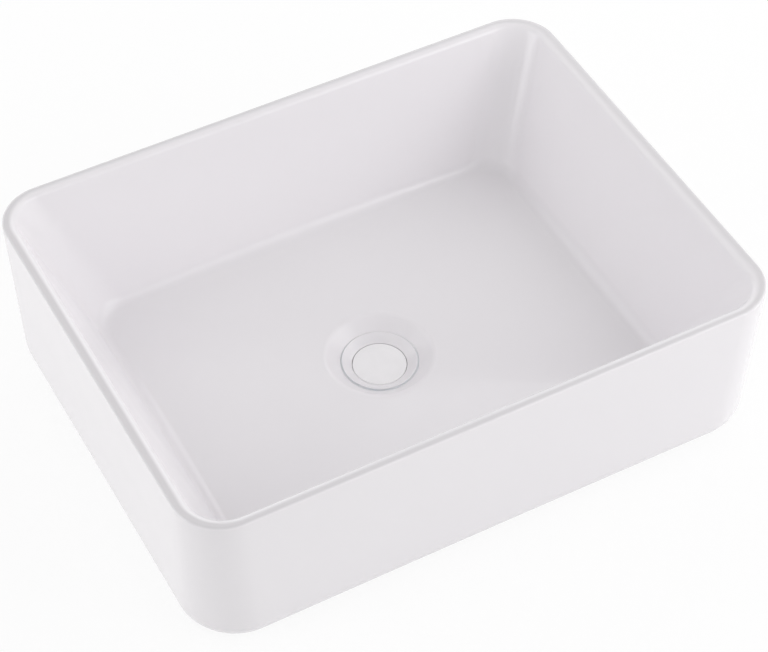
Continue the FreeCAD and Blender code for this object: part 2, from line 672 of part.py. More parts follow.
def build_under_seal(doc):
    """A thick washer under the boss, with a spigot that centres it in the hole."""
    body = start_body(doc, "under_seal", "Places.under_seal_low")
    ring = section(body, "ring_section", [
        ("Places.seal_bore", NO_PLACE),
        ("Places.under_seal_radius", NO_PLACE),
        ("Places.under_seal_radius", "Sizes.under_seal_thickness"),
        ("Places.spigot_radius", "Sizes.under_seal_thickness"),
        ("Places.spigot_tip", "Places.under_seal_top"),
        ("Places.seal_bore", "Places.under_seal_top"),
    ])
    turn(body, "ring", ring)


def build_slip_washer(doc):
    """A thin washer that lets the nut turn on the rubber."""
    body = start_body(doc, "slip_washer", "Places.slip_washer_low")
    ring = disc(body, "ring_outline", "Places.slip_washer_radius", bore="Places.seal_bore")
    pad(body, "ring", ring, "Sizes.slip_washer_thickness")


def build_backnut(doc):
    """The hexagon nut with a flange that clamps the waste to the bowl."""
    body = start_body(doc, "backnut", "Places.backnut_low")
    hexagon = start_sketch(body, "hexagon_outline", "XY_Plane")
    draw_hexagon(hexagon, "Places.backnut_flats")
    pad(body, "hexagon", hexagon, "Places.backnut_hex")
    flange = disc(body, "flange_outline", "Places.backnut_flange_radius", "Places.backnut_hex")
    pad(body, "flange", flange, "Sizes.backnut_flange_thickness")
    bore = disc(body, "bore_outline", "Places.backnut_bore")
    pocket(body, "bore", bore, "Places.backnut_cut", up=True)


def build_cartridge_housing(doc):
    """The click mechanism's sleeve, with a collar that sits on the spider."""
    body = start_body(doc, "cartridge_housing", "Places.housing_low")
    sleeve = disc(body, "sleeve_outline", "Places.housing_radius")
    pad(body, "sleeve", sleeve, "Places.housing_length")
    collar = start_sketch(body, "collar_outline", "XY_Plane", "Places.collar_place")
    draw_hexagon(collar, "Places.collar_flats")
    pad(body, "collar", collar, "Sizes.collar_height")
    bore = disc(body, "bore_outline", "Sizes.housing_bore")
    pocket(body, "bore", bore, "Places.housing_bore_depth", up=True)
    mouth = disc(body, "mouth_outline", "Places.housing_mouth", "Places.housing_length")
    pocket(body, "mouth", mouth, "Places.housing_mouth_depth")


def build_cartridge_base(doc):
    """The plug that closes the sleeve and carries the spring."""
    body = start_body(doc, "cartridge_base", "Places.base_low")
    flange = disc(body, "flange_outline", "Places.housing_radius")
    pad(body, "flange", flange, "Sizes.base_flange_height")
    plug = disc(body, "plug_outline", "Places.base_radius", "Sizes.base_flange_height")
    pad(body, "plug", plug, "Sizes.base_height")


def build_click_spring(doc):
    """A round-wire compression spring, closed up as it is with the plug down."""
    body = start_body(doc, "click_spring", "Places.spring_low")
    wire = start_sketch(body, "wire_outline", "XZ_Plane")
    radius = value(doc, "Places.wire_radius")
    middle = FreeCAD.Vector(value(doc, "Sizes.spring_radius"), 0, 0)
    wire.addGeometry(Part.Circle(middle, FreeCAD.Vector(0, 0, 1), radius))
    pin_point(wire, 0, 3, "Sizes.spring_radius", NO_PLACE)
    row = wire.addConstraint(Sketcher.Constraint("Radius", 0, radius))
    wire.setExpression(f"Constraints[{row}]", "Places.wire_radius")
    coil = body.newObject("PartDesign::AdditiveHelix", "coil")
    coil.Profile = wire
    coil.ReferenceAxis = (wire, ["V_Axis"])
    coil.Mode = "height-turns-angle"
    coil.setExpression("Height", "Places.spring_rise")
    coil.setExpression("Turns", "Sizes.spring_turns")
    doc.recompute()


def add_teeth(body, height=None):
    """A crown of teeth that stands up from a level plane."""
    tooth_outline = start_sketch(body, "tooth_outline", "XY_Plane", height)
    draw_polygon(tooth_outline, [
        ("Sizes.tooth_root_radius", "Places.tooth_other_half"),
        ("Places.tooth_tip_radius", "Places.tooth_other_half"),
        ("Places.tooth_tip_radius", "Places.tooth_half"),
        ("Sizes.tooth_root_radius", "Places.tooth_half"),
    ])
    tooth = pad(body, "tooth", tooth_outline, "Sizes.tooth_height")
    ring_of(body, "teeth", tooth, "Sizes.tooth_count")


def build_click_rotor(doc):
    """The cam that turns at each push, with a crown of teeth and a post inside the spring."""
    body = start_body(doc, "click_rotor", "Places.rotor_low")
    drum = disc(body, "drum_outline", "Places.drum_radius")
    pad(body, "drum", drum, "Places.rotor_drum")
    post = disc(body, "post_outline", "Sizes.rotor_post_radius", "-Sizes.rotor_post_length")
    pad(body, "post", post, "Sizes.rotor_post_length")
    add_teeth(body, "Places.rotor_drum")


def build_plunger(doc):
    """The slider: a drum with teeth below, and a hollow rod that takes the stem."""
    body = start_body(doc, "plunger", "Places.drum_low")
    drum = disc(body, "drum_outline", "Places.drum_radius", "Sizes.tooth_height")
    pad(body, "drum", drum, "Places.drum_length")
    rod = disc(body, "rod_outline", "Places.plunger_rod_radius", "Sizes.tooth_height")
    pad(body, "rod", rod, "Places.plunger_rod_length")
    add_teeth(body)
    bore = disc(body, "bore_outline", "Places.cap_bore", "Places.plunger_length")
    pocket(body, "bore", bore, "Places.stem_bore_depth")


def build_plug_stem(doc):
    """The threaded rod between plunger and cap."""
    body = start_body(doc, "plug_stem", "Places.stem_low")
    rod = disc(body, "rod_outline", "Sizes.stem_radius")
    shape = pad(body, "rod", rod, "Places.stem_length").Shape
    names = level_edges(shape, 0) + level_edges(shape, value(doc, "Places.stem_length"))
    bevel_edges(body, "ends", names, "Sizes.stem_chamfer")


def build_stem_locknut(doc):
    """The nut that locks the stem at its height."""
    body = start_body(doc, "stem_locknut", "Places.plunger_top")
    hexagon = start_sketch(body, "hexagon_outline", "XY_Plane")
    draw_hexagon(hexagon, "Sizes.locknut_flats")
    pad(body, "hexagon", hexagon, "Sizes.locknut_height")
    bore = disc(body, "bore_outline", "Places.cap_bore")
    pocket(body, "bore", bore, "Places.locknut_cut", up=True)


def build_plug_cap(doc):
    """The push-down plug, flush with the flange, on a bored boss."""
    body = start_body(doc, "plug_cap", "Places.cap_boss_low")
    boss = disc(body, "boss_outline", "Sizes.cap_boss_radius")
    pad(body, "boss", boss, "Sizes.cap_boss_length")
    plate = disc(body, "plate_outline", "Places.cap_radius", "Sizes.cap_boss_length")
    pad(body, "plate", plate, "Sizes.cap_thickness")
    groove = disc(body, "groove_outline", "Places.plug_groove_outer", "Sizes.cap_boss_length",
                  bore="Places.plug_groove_inner")
    pocket(body, "seal_groove", groove, "Sizes.plug_seal_groove", up=True)
    bore = disc(body, "bore_outline", "Places.cap_bore")
    pocket(body, "stem_bore", bore, "Places.cap_bore_depth", up=True)
    names = level_edges(body.Tip.Shape, value(doc, "Places.cap_plate_top"))
    round_edges(body, "plate_rounding", names, "Sizes.cap_edge_round")


def build_plug_seal(doc):
    """The rubber ring in the cap's groove, down on the seat."""
    body = start_body(doc, "plug_seal", "Places.cap_seat")
    ring = disc(body, "ring_outline", "Places.plug_seal_outer", bore="Places.plug_seal_inner")
    pad(body, "ring", ring, "Sizes.plug_seal_thickness")


BUILDERS = [
    build_basin_bowl,
    build_waste_body,
    build_flange_seal,
    build_under_seal,
    build_slip_washer,
    build_backnut,
    build_cartridge_housing,
    build_cartridge_base,
    build_click_spring,
    build_click_rotor,
    build_plunger,
    build_plug_stem,
    build_stem_locknut,
    build_plug_cap,
    build_plug_seal,
]


def check(doc, bodies):
    """Stops on any failed object, and on any body that isn't one valid solid."""
    for item in doc.Objects:
        if "Invalid" in item.State or "Error" in item.State:
            raise ValueError(f"{item.Name} failed: {item.State}")
    for body in bodies:
        shape = body.Shape
        if shape.isNull() or not shape.isValid() or len(shape.Solids) != 1 or shape.Volume <= 0:
            raise ValueError(f"{body.Label} isn't one valid solid")


def main():
    doc = FreeCAD.newDocument("washbasin")
    fill_sheet(doc, "Sizes", [(name, str(number)) for name, number in SIZES + COUNTS])
    fill_sheet(doc, "Places", [(name, "=" + formula) for name, formula in PLACES])
    doc.recompute()
    for build in BUILDERS:
        build(doc)
    doc.recompute()
    bodies = doc.findObjects("PartDesign::Body")
    check(doc, bodies)
    os.makedirs("parts", exist_ok=True)
    for body in bodies:
        body.Shape.exportStep(f"parts/{body.Label}.step")
        print(body.Label, round(body.Shape.Volume), "cubic mm")


main()
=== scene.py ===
"""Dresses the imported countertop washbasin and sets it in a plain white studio.

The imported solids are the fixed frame. The bowl, the waste and its clamp, the click cartridge
and the plug are built again as finer meshes in the places of their solids, and each piece
gets the finish of the real one.
"""

import logging
import math
from dataclasses import dataclass
from enum import Enum
from functools import lru_cache
from typing import Any, Sequence, Union

import bmesh
import bpy
from mathutils import Matrix, Vector

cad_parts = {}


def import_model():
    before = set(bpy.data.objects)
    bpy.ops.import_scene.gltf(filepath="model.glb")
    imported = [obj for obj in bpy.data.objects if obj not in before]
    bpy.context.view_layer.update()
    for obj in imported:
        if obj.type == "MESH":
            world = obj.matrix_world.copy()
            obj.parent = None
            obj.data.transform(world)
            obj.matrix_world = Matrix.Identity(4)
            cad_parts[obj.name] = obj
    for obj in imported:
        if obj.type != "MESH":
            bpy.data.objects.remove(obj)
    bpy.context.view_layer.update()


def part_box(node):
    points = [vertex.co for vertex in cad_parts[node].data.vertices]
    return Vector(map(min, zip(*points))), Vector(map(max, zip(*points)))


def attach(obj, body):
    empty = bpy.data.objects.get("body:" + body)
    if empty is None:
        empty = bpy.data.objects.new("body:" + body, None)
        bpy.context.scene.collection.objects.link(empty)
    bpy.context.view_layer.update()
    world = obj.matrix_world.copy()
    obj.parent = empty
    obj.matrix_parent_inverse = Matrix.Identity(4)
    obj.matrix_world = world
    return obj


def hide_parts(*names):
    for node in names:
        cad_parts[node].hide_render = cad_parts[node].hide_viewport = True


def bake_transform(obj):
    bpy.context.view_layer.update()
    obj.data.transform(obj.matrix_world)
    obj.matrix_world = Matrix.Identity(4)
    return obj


LOG = logging.getLogger("washbasin")
MM = 0.001
TINY = 1e-9
FULL_TURN = 2.0 * math.pi
SHARP_EDGE = math.radians(38.0)
WHITE = (1.0, 1.0, 1.0)
# Roundings of small edges, from the finest to the softest.
KEEN, CRISP, BROKEN, EASED, SOFT = 0.2 * MM, 0.3 * MM, 0.4 * MM, 0.5 * MM, 0.8 * MM
# The most of a stretch that the roundings at its two ends may take up.
MOST_OF_STRETCH = 0.96
# Where the painted shade of the rim's crest starts in the rim's rounding, and over how much of a
# rounding it deepens or fades.
CREST_SHADE_FROM, CREST_SHADE_SPAN = 0.3, 0.4
Colour = tuple[float, float, float]
Value = Union["Socket", float]


class Socket:
    """The output of a shader node, which can be used in arithmetic."""

    def __init__(self, recipe: "Recipe", output: bpy.types.NodeSocket) -> None:
        """Keeps the output and the recipe that it belongs to."""
        self.recipe = recipe
        self.output = output

    def _math(self, operation: str, first: Value, second: Value) -> "Socket":
        """Adds a Math node to the recipe."""
        return self.recipe.node("ShaderNodeMath", {"operation": operation}, {0: first, 1: second})

    def __add__(self, other: Value) -> "Socket":
        """Gives self + other."""
        return self._math("ADD", self, other)

    __radd__ = __add__

    def __sub__(self, other: Value) -> "Socket":
        """Gives self - other."""
        return self._math("SUBTRACT", self, other)

    def __rsub__(self, other: Value) -> "Socket":
        """Gives other - self."""
        return self._math("SUBTRACT", other, self)

    def __mul__(self, other: Value) -> "Socket":
        """Gives self * other."""
        return self._math("MULTIPLY", self, other)

    __rmul__ = __mul__

    def at_least(self, other: Value) -> "Socket":
        """Gives the larger of the two."""
        return self._math("MAXIMUM", self, other)

    def between(self, low: float, high: float) -> "Socket":
        """Gives 0 below low, 1 above high and a smooth rise between them."""
        settings = {"interpolation_type": "SMOOTHSTEP"}
        return self.recipe.node("ShaderNodeMapRange", settings, {"Value": self, 1: low, 2: high})

    def beside(self, name: str) -> "Socket":
        """Gives another output of the same node."""
        return Socket(self.recipe, self.output.node.outputs[name])


class Recipe:
    """A node tree while it is being written."""

    def __init__(self, tree: bpy.types.NodeTree) -> None:
        """Starts from an empty tree."""
        self.tree = tree
        tree.nodes.clear()

    def node(self, kind: str, settings: dict[str, Any] | None = None,
             sockets: dict[Any, Any] | None = None, output: int | str = 0) -> Socket:
        """Adds one node.

        Args:
            kind: the node's type.
            settings: what is set on the node itself, before its sockets.
            sockets: the values or links of its input sockets.
            output: which output is handed back.

        Returns:
            The chosen output.
        """
        made = self.tree.nodes.new(kind)
        for key, setting in (settings or {}).items():
            setattr(made, key, setting)
        for key, given in (sockets or {}).items():
            if isinstance(given, Socket):
                self.tree.links.new(given.output, made.inputs[key])
            elif isinstance(given, tuple) and len(given) < len(made.inputs[key].default_value):
                made.inputs[key].default_value = (*given, 1.0)
            else:
                made.inputs[key].default_value = given
        return Socket(self, made.outputs[output] if made.outputs else None)

    def mark(self, name: str) -> Socket:
        """Gives a value that the mesh carries at its points."""
        return self.node("ShaderNodeAttribute", {"attribute_name": name}, output="Fac")

    def mix(self, first: Socket | Colour, second: Socket | Colour, share: Value) -> Socket:
        """Gives a colour that goes from the first to the second as share goes from 0 to 1."""
        return self.node("ShaderNodeMix", {"data_type": "RGBA"}, {0: share, 6: first, 7: second}, 2)

    def bump(self, height: Socket, depth: float) -> Socket:
        """Gives normals for a relief that is depth metres deep."""
        sockets = {"Strength": 1.0, "Distance": depth, "Height": height}
        return self.node("ShaderNodeBump", None, sockets)

    def surface(self, sockets: dict[str, Any]) -> None:
        """Ends the recipe with the one shader of a piece."""
        shader = self.node("ShaderNodeBsdfPrincipled", None, sockets)
        self.node("ShaderNodeOutputMaterial", None, {"Surface": shader})


def start_material(name: str) -> tuple[bpy.types.Material, Recipe]:
    """Makes an empty node material.

    Args:
        name: the material's name.

    Returns:
        The material and its recipe.
    """
    material = bpy.data.materials.new(name)
    material.use_nodes = True
    return material, Recipe(material.node_tree)


@dataclass(frozen=True)
class Texture:
    """A soft noise: its patches' width, finer layers, most added roughness and stretch."""

    size: float
    detail: float = 2.0
    dulls: float = 0.0
    stretch: Colour = (1.0, 1.0, 1.0)

    def on(self, recipe: Recipe) -> Socket:
        """Lays the noise on a piece, by the place in metres.

        Args:
            recipe: the recipe of the piece's material.

        Returns:
            The noise, from 0 to 1.
        """
        place = recipe.node("ShaderNodeTexCoord", output="Object")
        place = recipe.node("ShaderNodeVectorMath", {"operation": "MULTIPLY"},
                            {0: place, 1: self.stretch})
        sockets = {"Vector": place, "Scale": 1.0 / self.size, "Detail": self.detail}
        return recipe.node("ShaderNodeTexNoise", None, sockets)


@dataclass(frozen=True)
class Glaze:
    """White glaze fired on ceramic, with painted shade in the floor's crease and on the rim's
    crest, and the bare clay where it is wiped off.
    """

    slot: str = "glaze"
    colour: Colour = (0.872, 0.850, 0.872)
    clouded: Colour = (0.860, 0.838, 0.862)
    # Painted shade: a darker glaze colour laid in the floor's crease.
    crease_shade: Colour = (0.835, 0.813, 0.838)
    # Painted shade: a darker glaze colour laid on the rim's crest.
    crest_shade: Colour = (0.70, 0.68, 0.70)
    clay: Colour = (0.74, 0.70, 0.63)
    clay_speck: Colour = (0.55, 0.48, 0.40)
    gloss: float = 0.2
    clay_dullness: float = 0.8
    ior: float = 1.52
    cloud: Texture = Texture(240.0 * MM, 0.0)
    ripple: Texture = Texture(30.0 * MM, 0.0, 0.03)
    wiped_edge: Texture = Texture(6.0 * MM, 3.0)
    clay_grain: Texture = Texture(0.6 * MM, 3.0, 0.1)
    clay_depth: float = 0.05 * MM

    def material(self) -> bpy.types.Material:
        """Writes the glaze, with the marks that the bowl's mesh carries: painted shade for the
        floor's crease and the rim's crest, and bare clay.

        Returns:
            The material.
        """
        material, recipe = start_material(self.slot)
        pool = recipe.mark("pool")
        grain, ripple = self.clay_grain.on(recipe), self.ripple.on(recipe)
        ragged = self.wiped_edge.on(recipe) - 0.5
        bare = (recipe.mark("bare") + 0.3 * ragged).between(0.42, 0.58)
        cloud = self.cloud.on(recipe).between(0.25, 0.75)
        coat = recipe.mix(self.colour, self.clouded, cloud)
        # Painted shade: the glaze is mixed darker where the mark is positive (the floor's crease)
        # and where it is negative (the rim's crest).
        coat = recipe.mix(coat, self.crease_shade, pool.at_least(0.0))
        coat = recipe.mix(coat, self.crest_shade, (0.0 - pool).at_least(0.0))
        clay = recipe.mix(self.clay, self.clay_speck, grain.between(0.62, 0.75))
        shine = self.gloss + self.ripple.dulls * ripple
        chalk = self.clay_dullness + self.clay_grain.dulls * grain
        recipe.surface({
            "Base Color": recipe.mix(coat, clay, bare),
            "Roughness": (1.0 - bare) * shine + bare * chalk,
            "Normal": recipe.bump(bare * grain, self.clay_depth),
            "IOR": self.ior,
        })
        return material


@dataclass(frozen=True)
class Coating:
    """A finish with patches of a second colour and a fine grain in relief."""

    slot: str
    colour: Colour
    patches: Colour
    dullness: float
    patch: Texture
    patch_edge: tuple[float, float]
    grain: Texture
    grain_depth: float
    metallic: float = 0.0
    soft_light: float = 0.0

    def material(self) -> bpy.types.Material:
        """Writes the finish.

        Returns:
            The material.
        """
        material, recipe = start_material(self.slot)
        grain = self.grain.on(recipe)
        patch = self.patch.on(recipe).between(*self.patch_edge)
        recipe.surface({
            "Base Color": recipe.mix(self.colour, self.patches, patch),
            "Metallic": self.metallic,
            "Roughness": self.dullness + self.grain.dulls * grain + self.patch.dulls * patch,
            "Normal": recipe.bump(grain, self.grain_depth),
            "Subsurface Weight": self.soft_light,
        })
        return material


@dataclass(frozen=True)
class Enamel(Coating):
    """White gloss coat on brass, with the faint ripple of a sprayed finish."""

    slot: str = "white_enamel"
    colour: Colour = (0.945, 0.93, 0.945)
    patches: Colour = (0.925, 0.91, 0.925)
    dullness: float = 0.14
    patch: Texture = Texture(14.0 * MM)
    patch_edge: tuple[float, float] = (0.35, 0.7)
    grain: Texture = Texture(1.6 * MM, 1.0, 0.05)
    grain_depth: float = 0.006 * MM


@dataclass(frozen=True)
class Rubber(Coating):
    """Moulded rubber or silicone: a fine dull skin with a paler bloom."""

    patch: Texture = Texture(6.0 * MM, 4.0, 0.15)
    patch_edge: tuple[float, float] = (0.48, 0.75)
    grain: Texture = Texture(0.35 * MM, 3.0)
    grain_depth: float = 0.02 * MM


@dataclass(frozen=True)
class Moulding(Coating):
    """Injection-moulded nylon, with faint flow marks and a fine spark-eroded skin."""

    dullness: float = 0.42
    patch: Texture = Texture(3.0 * MM, 3.0, stretch=(1.0, 1.0, 0.25))
    patch_edge: tuple[float, float] = (0.4, 0.7)
    grain: Texture = Texture(0.25 * MM, dulls=0.12)
    grain_depth: float = 0.012 * MM


@dataclass(frozen=True)
class Metal(Coating):
    """Bare metal with the fine lines of its making and patches of tarnish."""

    patch: Texture = Texture(5.0 * MM, 4.0, 0.15)
    patch_edge: tuple[float, float] = (0.45, 0.8)
    grain: Texture = Texture(0.12 * MM, dulls=0.12, stretch=(0.08, 0.08, 1.0))
    grain_depth: float = 0.006 * MM
    metallic: float = 1.0


Finish = Union[Glaze, Coating]


class Skin:
    """A plain turned face, from which the other skins depart."""

    def shape(self, angle: float, radius: float, height: float) -> tuple[float, float]:
        """Gives the radius and height as they are."""
        return radius, height


@dataclass(frozen=True)
class Hexagon(Skin):
    """Six flats cut into a turned face, which leave the bevel's arcs on the corners."""

    flats: float

    @property
    def reach(self) -> float:
        """Gives the distance of its corners from the axis."""
        return self.flats / math.sqrt(3.0)

    @property
    def bevel(self) -> float:
        """Gives the height of a bevel of 30 degrees from the flats to the corners."""
        return (self.reach - self.flats / 2.0) * math.tan(math.radians(30.0))

    def shape(self, angle: float, radius: float, height: float) -> tuple[float, float]:
        """Gives the lesser of the circle and the hexagon."""
        side = FULL_TURN / 6.0
        return min(radius, self.flats / 2.0 / math.cos(angle % side - side / 2.0)), height


@dataclass(frozen=True)
class Thread(Skin):
    """A round-bottomed right-hand thread that fades out at both ends."""

    pitch: float
    depth: float
    low: float
    high: float
    rows_per_turn: float = 7.0

    @property
    def rows(self) -> int:
        """Gives how many rows of faces the thread needs."""
        return round((self.high - self.low) * self.rows_per_turn / self.pitch)

    def shape(self, angle: float, radius: float, height: float) -> tuple[float, float]:
        """Cuts the thread's groove.

        Args:
            angle: where round the axis.
            radius: the radius without the thread.
            height: the height of the row.

        Returns:
            The radius less the groove, and the height.
        """
        turns = height / self.pitch - angle / FULL_TURN
        groove = 0.5 - 0.5 * math.cos(FULL_TURN * turns)
        fade = min(height - self.low, self.high - height) / self.pitch
        return radius - self.depth * groove * min(max(fade, 0.0), 1.0), height


@dataclass(frozen=True)
class Crown(Skin):
    """Sloped teeth round a face, whose tips point up, or down where up is -1."""

    up: float
    tip: float = 5.8 * MM
    root: float = 3.6 * MM
    depth: float = 0.8 * MM
    count: int = 8
    slow_part: float = 0.8

    def shape(self, angle: float, radius: float, height: float) -> tuple[float, float]:
        """Cuts teeth that rise slowly and fall steeply.

        Args:
            angle: where round the axis.
            radius: the radius of the row.
            height: the height of the tips.

        Returns:
            The radius, and the height less the cut.
        """
        turn = angle / FULL_TURN * self.count % 1.0
        rise = min(turn / self.slow_part, (1.0 - turn) / (1.0 - self.slow_part))
        return radius, height - self.up * self.depth * (1.0 - rise)


@dataclass(frozen=True)
class Corner:
    """A corner of a turned section with its rounding, and the skin and rows up to the next."""

    radius: float
    height: float
    bend: float = 0.0
    skin: Skin = Skin()
    rows: int = 1


def ring_corners(inner: float, outer: float, low: float, high: float,
                 bends: Sequence[float]) -> list[Corner]:
    """Gives a plain ring's section, with its roundings from the lower inner edge onwards."""
    places = ((inner, low), (outer, low), (outer, high), (inner, high))
    return [Corner(radius, height, bend) for (radius, height), bend in zip(places, bends)]


@dataclass(frozen=True)
class Stop:
    """A point of a path, the corner it is at or after, and its share of that rounding."""

    point: Vector
    corner: int
    share: float


def rounded_path(points: Sequence[Vector], bends: Sequence[float], rows: Sequence[int],
                 steps: int, closed: bool) -> list[Stop]:
    """Rounds the corners of a path and divides its stretches.

    Args:
        points: the path's corners.
        bends: the radius of the rounding at each corner, or 0.
        rows: how many parts each stretch after a corner is divided into.
        steps: how many parts each rounding has.
        closed: whether the path goes back to its first corner.

    Returns:
        The stops along the path, as many for any points with the same bends and rows.
    """
    count = len(points)
    legs = [(points[i - 1] - p, points[(i + 1) % count] - p) for i, p in enumerate(points)]
    halves = [(math.pi - back.angle(ahead)) / 2.0 if bend else 0.0
              for bend, (back, ahead) in zip(bends, legs)]
    wanted = [bend * math.tan(half) for bend, half in zip(bends, halves)]
    arcs: list[list[Stop]] = []
    for i, (corner, (back, ahead)) in enumerate(zip(points, legs)):
        if not bends[i]:
            arcs.append([Stop(corner, i, 1.0)])
            continue
        need_back = max(wanted[i] + wanted[i - 1], TINY)
        need_ahead = max(wanted[i] + wanted[(i + 1) % count], TINY)
        room = min(back.length / need_back, ahead.length / need_ahead)
        reach = wanted[i] * min(1.0, MOST_OF_STRETCH * room)
        start, end = corner + back.normalized() * reach, corner + ahead.normalized() * reach
        pull = math.cos(halves[i])
        arc = []
        for k in range(steps + 1):
            t = k / steps
            near, middle, far = (1.0 - t) ** 2, 2.0 * t * (1.0 - t) * pull, t ** 2
            point = (start * near + corner * middle + end * far) / (near + middle + far)
            arc.append(Stop(point, i, t))
        arcs.append(arc)
    stops: list[Stop] = []
    for i, arc in enumerate(arcs):
        stops += arc
        if not closed and i == count - 1:
            break
        leave, reach_to = arc[-1].point, arcs[(i + 1) % count][0].point
        stops += [Stop(leave.lerp(reach_to, k / rows[i]), i, 1.0) for k in range(1, rows[i])]
    return stops


def around(angle: float, radius: float, height: float) -> Vector:
    """Gives a point at an angle round the upright axis."""
    return Vector((radius * math.cos(angle), radius * math.sin(angle), height))


def mesh_of_form(form: bmesh.types.BMesh) -> bpy.types.Mesh:
    """Turns a closed form's faces outwards and hands it over as a mesh.

    Args:
        form: the form, which is used up.

    Returns:
        The mesh.
    """
    bmesh.ops.recalc_face_normals(form, faces=form.faces)
    mesh = bpy.data.meshes.new("form")
    form.to_mesh(mesh)
    form.free()
    return mesh


def mesh_of_columns(columns: Sequence[Sequence[Vector]], closed: bool) -> bpy.types.Mesh:
    """Joins upright columns of points, side by side and all the way round, into one closed mesh.

    Args:
        columns: the columns, all of one length.
        closed: whether each column goes back to its first point; if not, its ends are on the axis.

    Returns:
        The mesh.
    """
    form = bmesh.new()
    length = len(columns[0])
    own = slice(None) if closed else slice(1, -1)
    made = [[form.verts.new(point) for point in column[own]] for column in columns]
    if not closed:
        first, last = form.verts.new(columns[0][0]), form.verts.new(columns[0][-1])
        made = [[first, *points, last] for points in made]
    for i, column in enumerate(made):
        beside = made[(i + 1) % len(made)]
        for k in range(length if closed else length - 1):
            after = (k + 1) % length
            corners = (column[k], beside[k], beside[after], column[after])
            form.faces.new(tuple(dict.fromkeys(corners)))
    return mesh_of_form(form)


def turned(corners: Sequence[Corner], columns: int = 96, steps: int = 4) -> bpy.types.Mesh:
    """Turns a section about the upright axis.

    Args:
        corners: the section's corners in order; if the first is on the axis, so is the last.
        columns: how many columns of faces go round.
        steps: how many rows each rounded corner has.

    Returns:
        The closed mesh.
    """
    closed = corners[0].radius > 0.0
    points = [Vector((c.radius, 0.0, c.height)) for c in corners]
    bends, rows = [c.bend for c in corners], [c.rows for c in corners]
    stops = rounded_path(points, bends, rows, steps, closed)
    made = []
    for i in range(columns):
        angle = FULL_TURN * i / columns
        shapes = [corners[s.corner].skin.shape(angle, s.point.x, s.point.z) for s in stops]
        made.append([around(angle, *shape) for shape in shapes])
    return mesh_of_columns(made, closed)


class Body(Enum):
    """The bodies that pieces ride on."""

    BASIN = "basin"
    PLUG = "plug"
    ROTOR = "rotor"


@lru_cache(maxsize=None)
def material_of(finish: Finish) -> bpy.types.Material:
    """Gives a finish's material, which is written once."""
    return finish.material()


def dress(node: str, mesh: bpy.types.Mesh, finish: Finish, body: Body | None) -> bpy.types.Object:
    """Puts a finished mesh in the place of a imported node.

    Args:
        node: the node that it stands for.
        mesh: its mesh, in the frame.
        finish: its finish.
        body: the body that it rides on, or None to leave it unattached.

    Returns:
        The new piece.
    """
    mesh.name = node
    mesh.shade_smooth()
    mesh.set_sharp_from_angle(angle=SHARP_EDGE)
    mesh.materials.append(material_of(finish))
    piece = bpy.data.objects.new(f"{node}.dressed", mesh)
    bpy.context.scene.collection.objects.link(piece)
    even = piece.modifiers.new("even_shading", "WEIGHTED_NORMAL")
    even.keep_sharp = True
    if body:
        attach(piece, body.value)
    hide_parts(node)
    LOG.info("%s: %d faces, %s", piece.name, len(mesh.polygons), finish.slot)
    return piece


def turn_piece(node: str, corners: Sequence[Corner], finish: Finish, body: Body = Body.BASIN,
               columns: int = 96, steps: int = 4) -> None:
    """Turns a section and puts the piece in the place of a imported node."""
    dress(node, turned(corners, columns, steps), finish, body)


class CoatAndShade(Enum):
    """What covers a stretch of the bowl, glaze or bare clay, and the painted shade laid on its
    corner.
    """

    EVEN = "even glaze"
    # Painted shade that darkens the middle of a hollow's rounding.
    CREASE_SHADE = "glaze that ran together in a hollow"
    # Painted shade that deepens up the outer rounding to the rim's crest.
    SHADE_UP_TO_CREST = "glaze that thins up to the crest"
    # Painted shade that fades from the rim's crest down the inner rounding.
    SHADE_DOWN_FROM_CREST = "glaze that thickens down from the crest"
    BARE = "bare clay"

    def pool(self, share: float) -> float:
        """Gives how much painted shade lies in a rounding.

        Args:
            share: how far round the rounding it is, from 0 to 1.

        Returns:
            1 for the full painted shade of a hollow, 0 for none and -1 for the full painted shade
            of the crest.
        """
        if self is CoatAndShade.CREASE_SHADE:
            return 4.0 * share * (1.0 - share)
        if self is CoatAndShade.SHADE_UP_TO_CREST:
            return -min(max(share - CREST_SHADE_FROM, 0.0) / CREST_SHADE_SPAN, 1.0)
        if self is CoatAndShade.SHADE_DOWN_FROM_CREST:
            return min(share / CREST_SHADE_SPAN, 1.0) - 1.0
        return 0.0


@dataclass(frozen=True)
class Turn:
    """A corner of the bowl's section all the way round, with the rows, coat and painted shade after
    it.
    """

    ring: list[Vector]
    bend: float
    rows: int
    coat: CoatAndShade = CoatAndShade.BARE


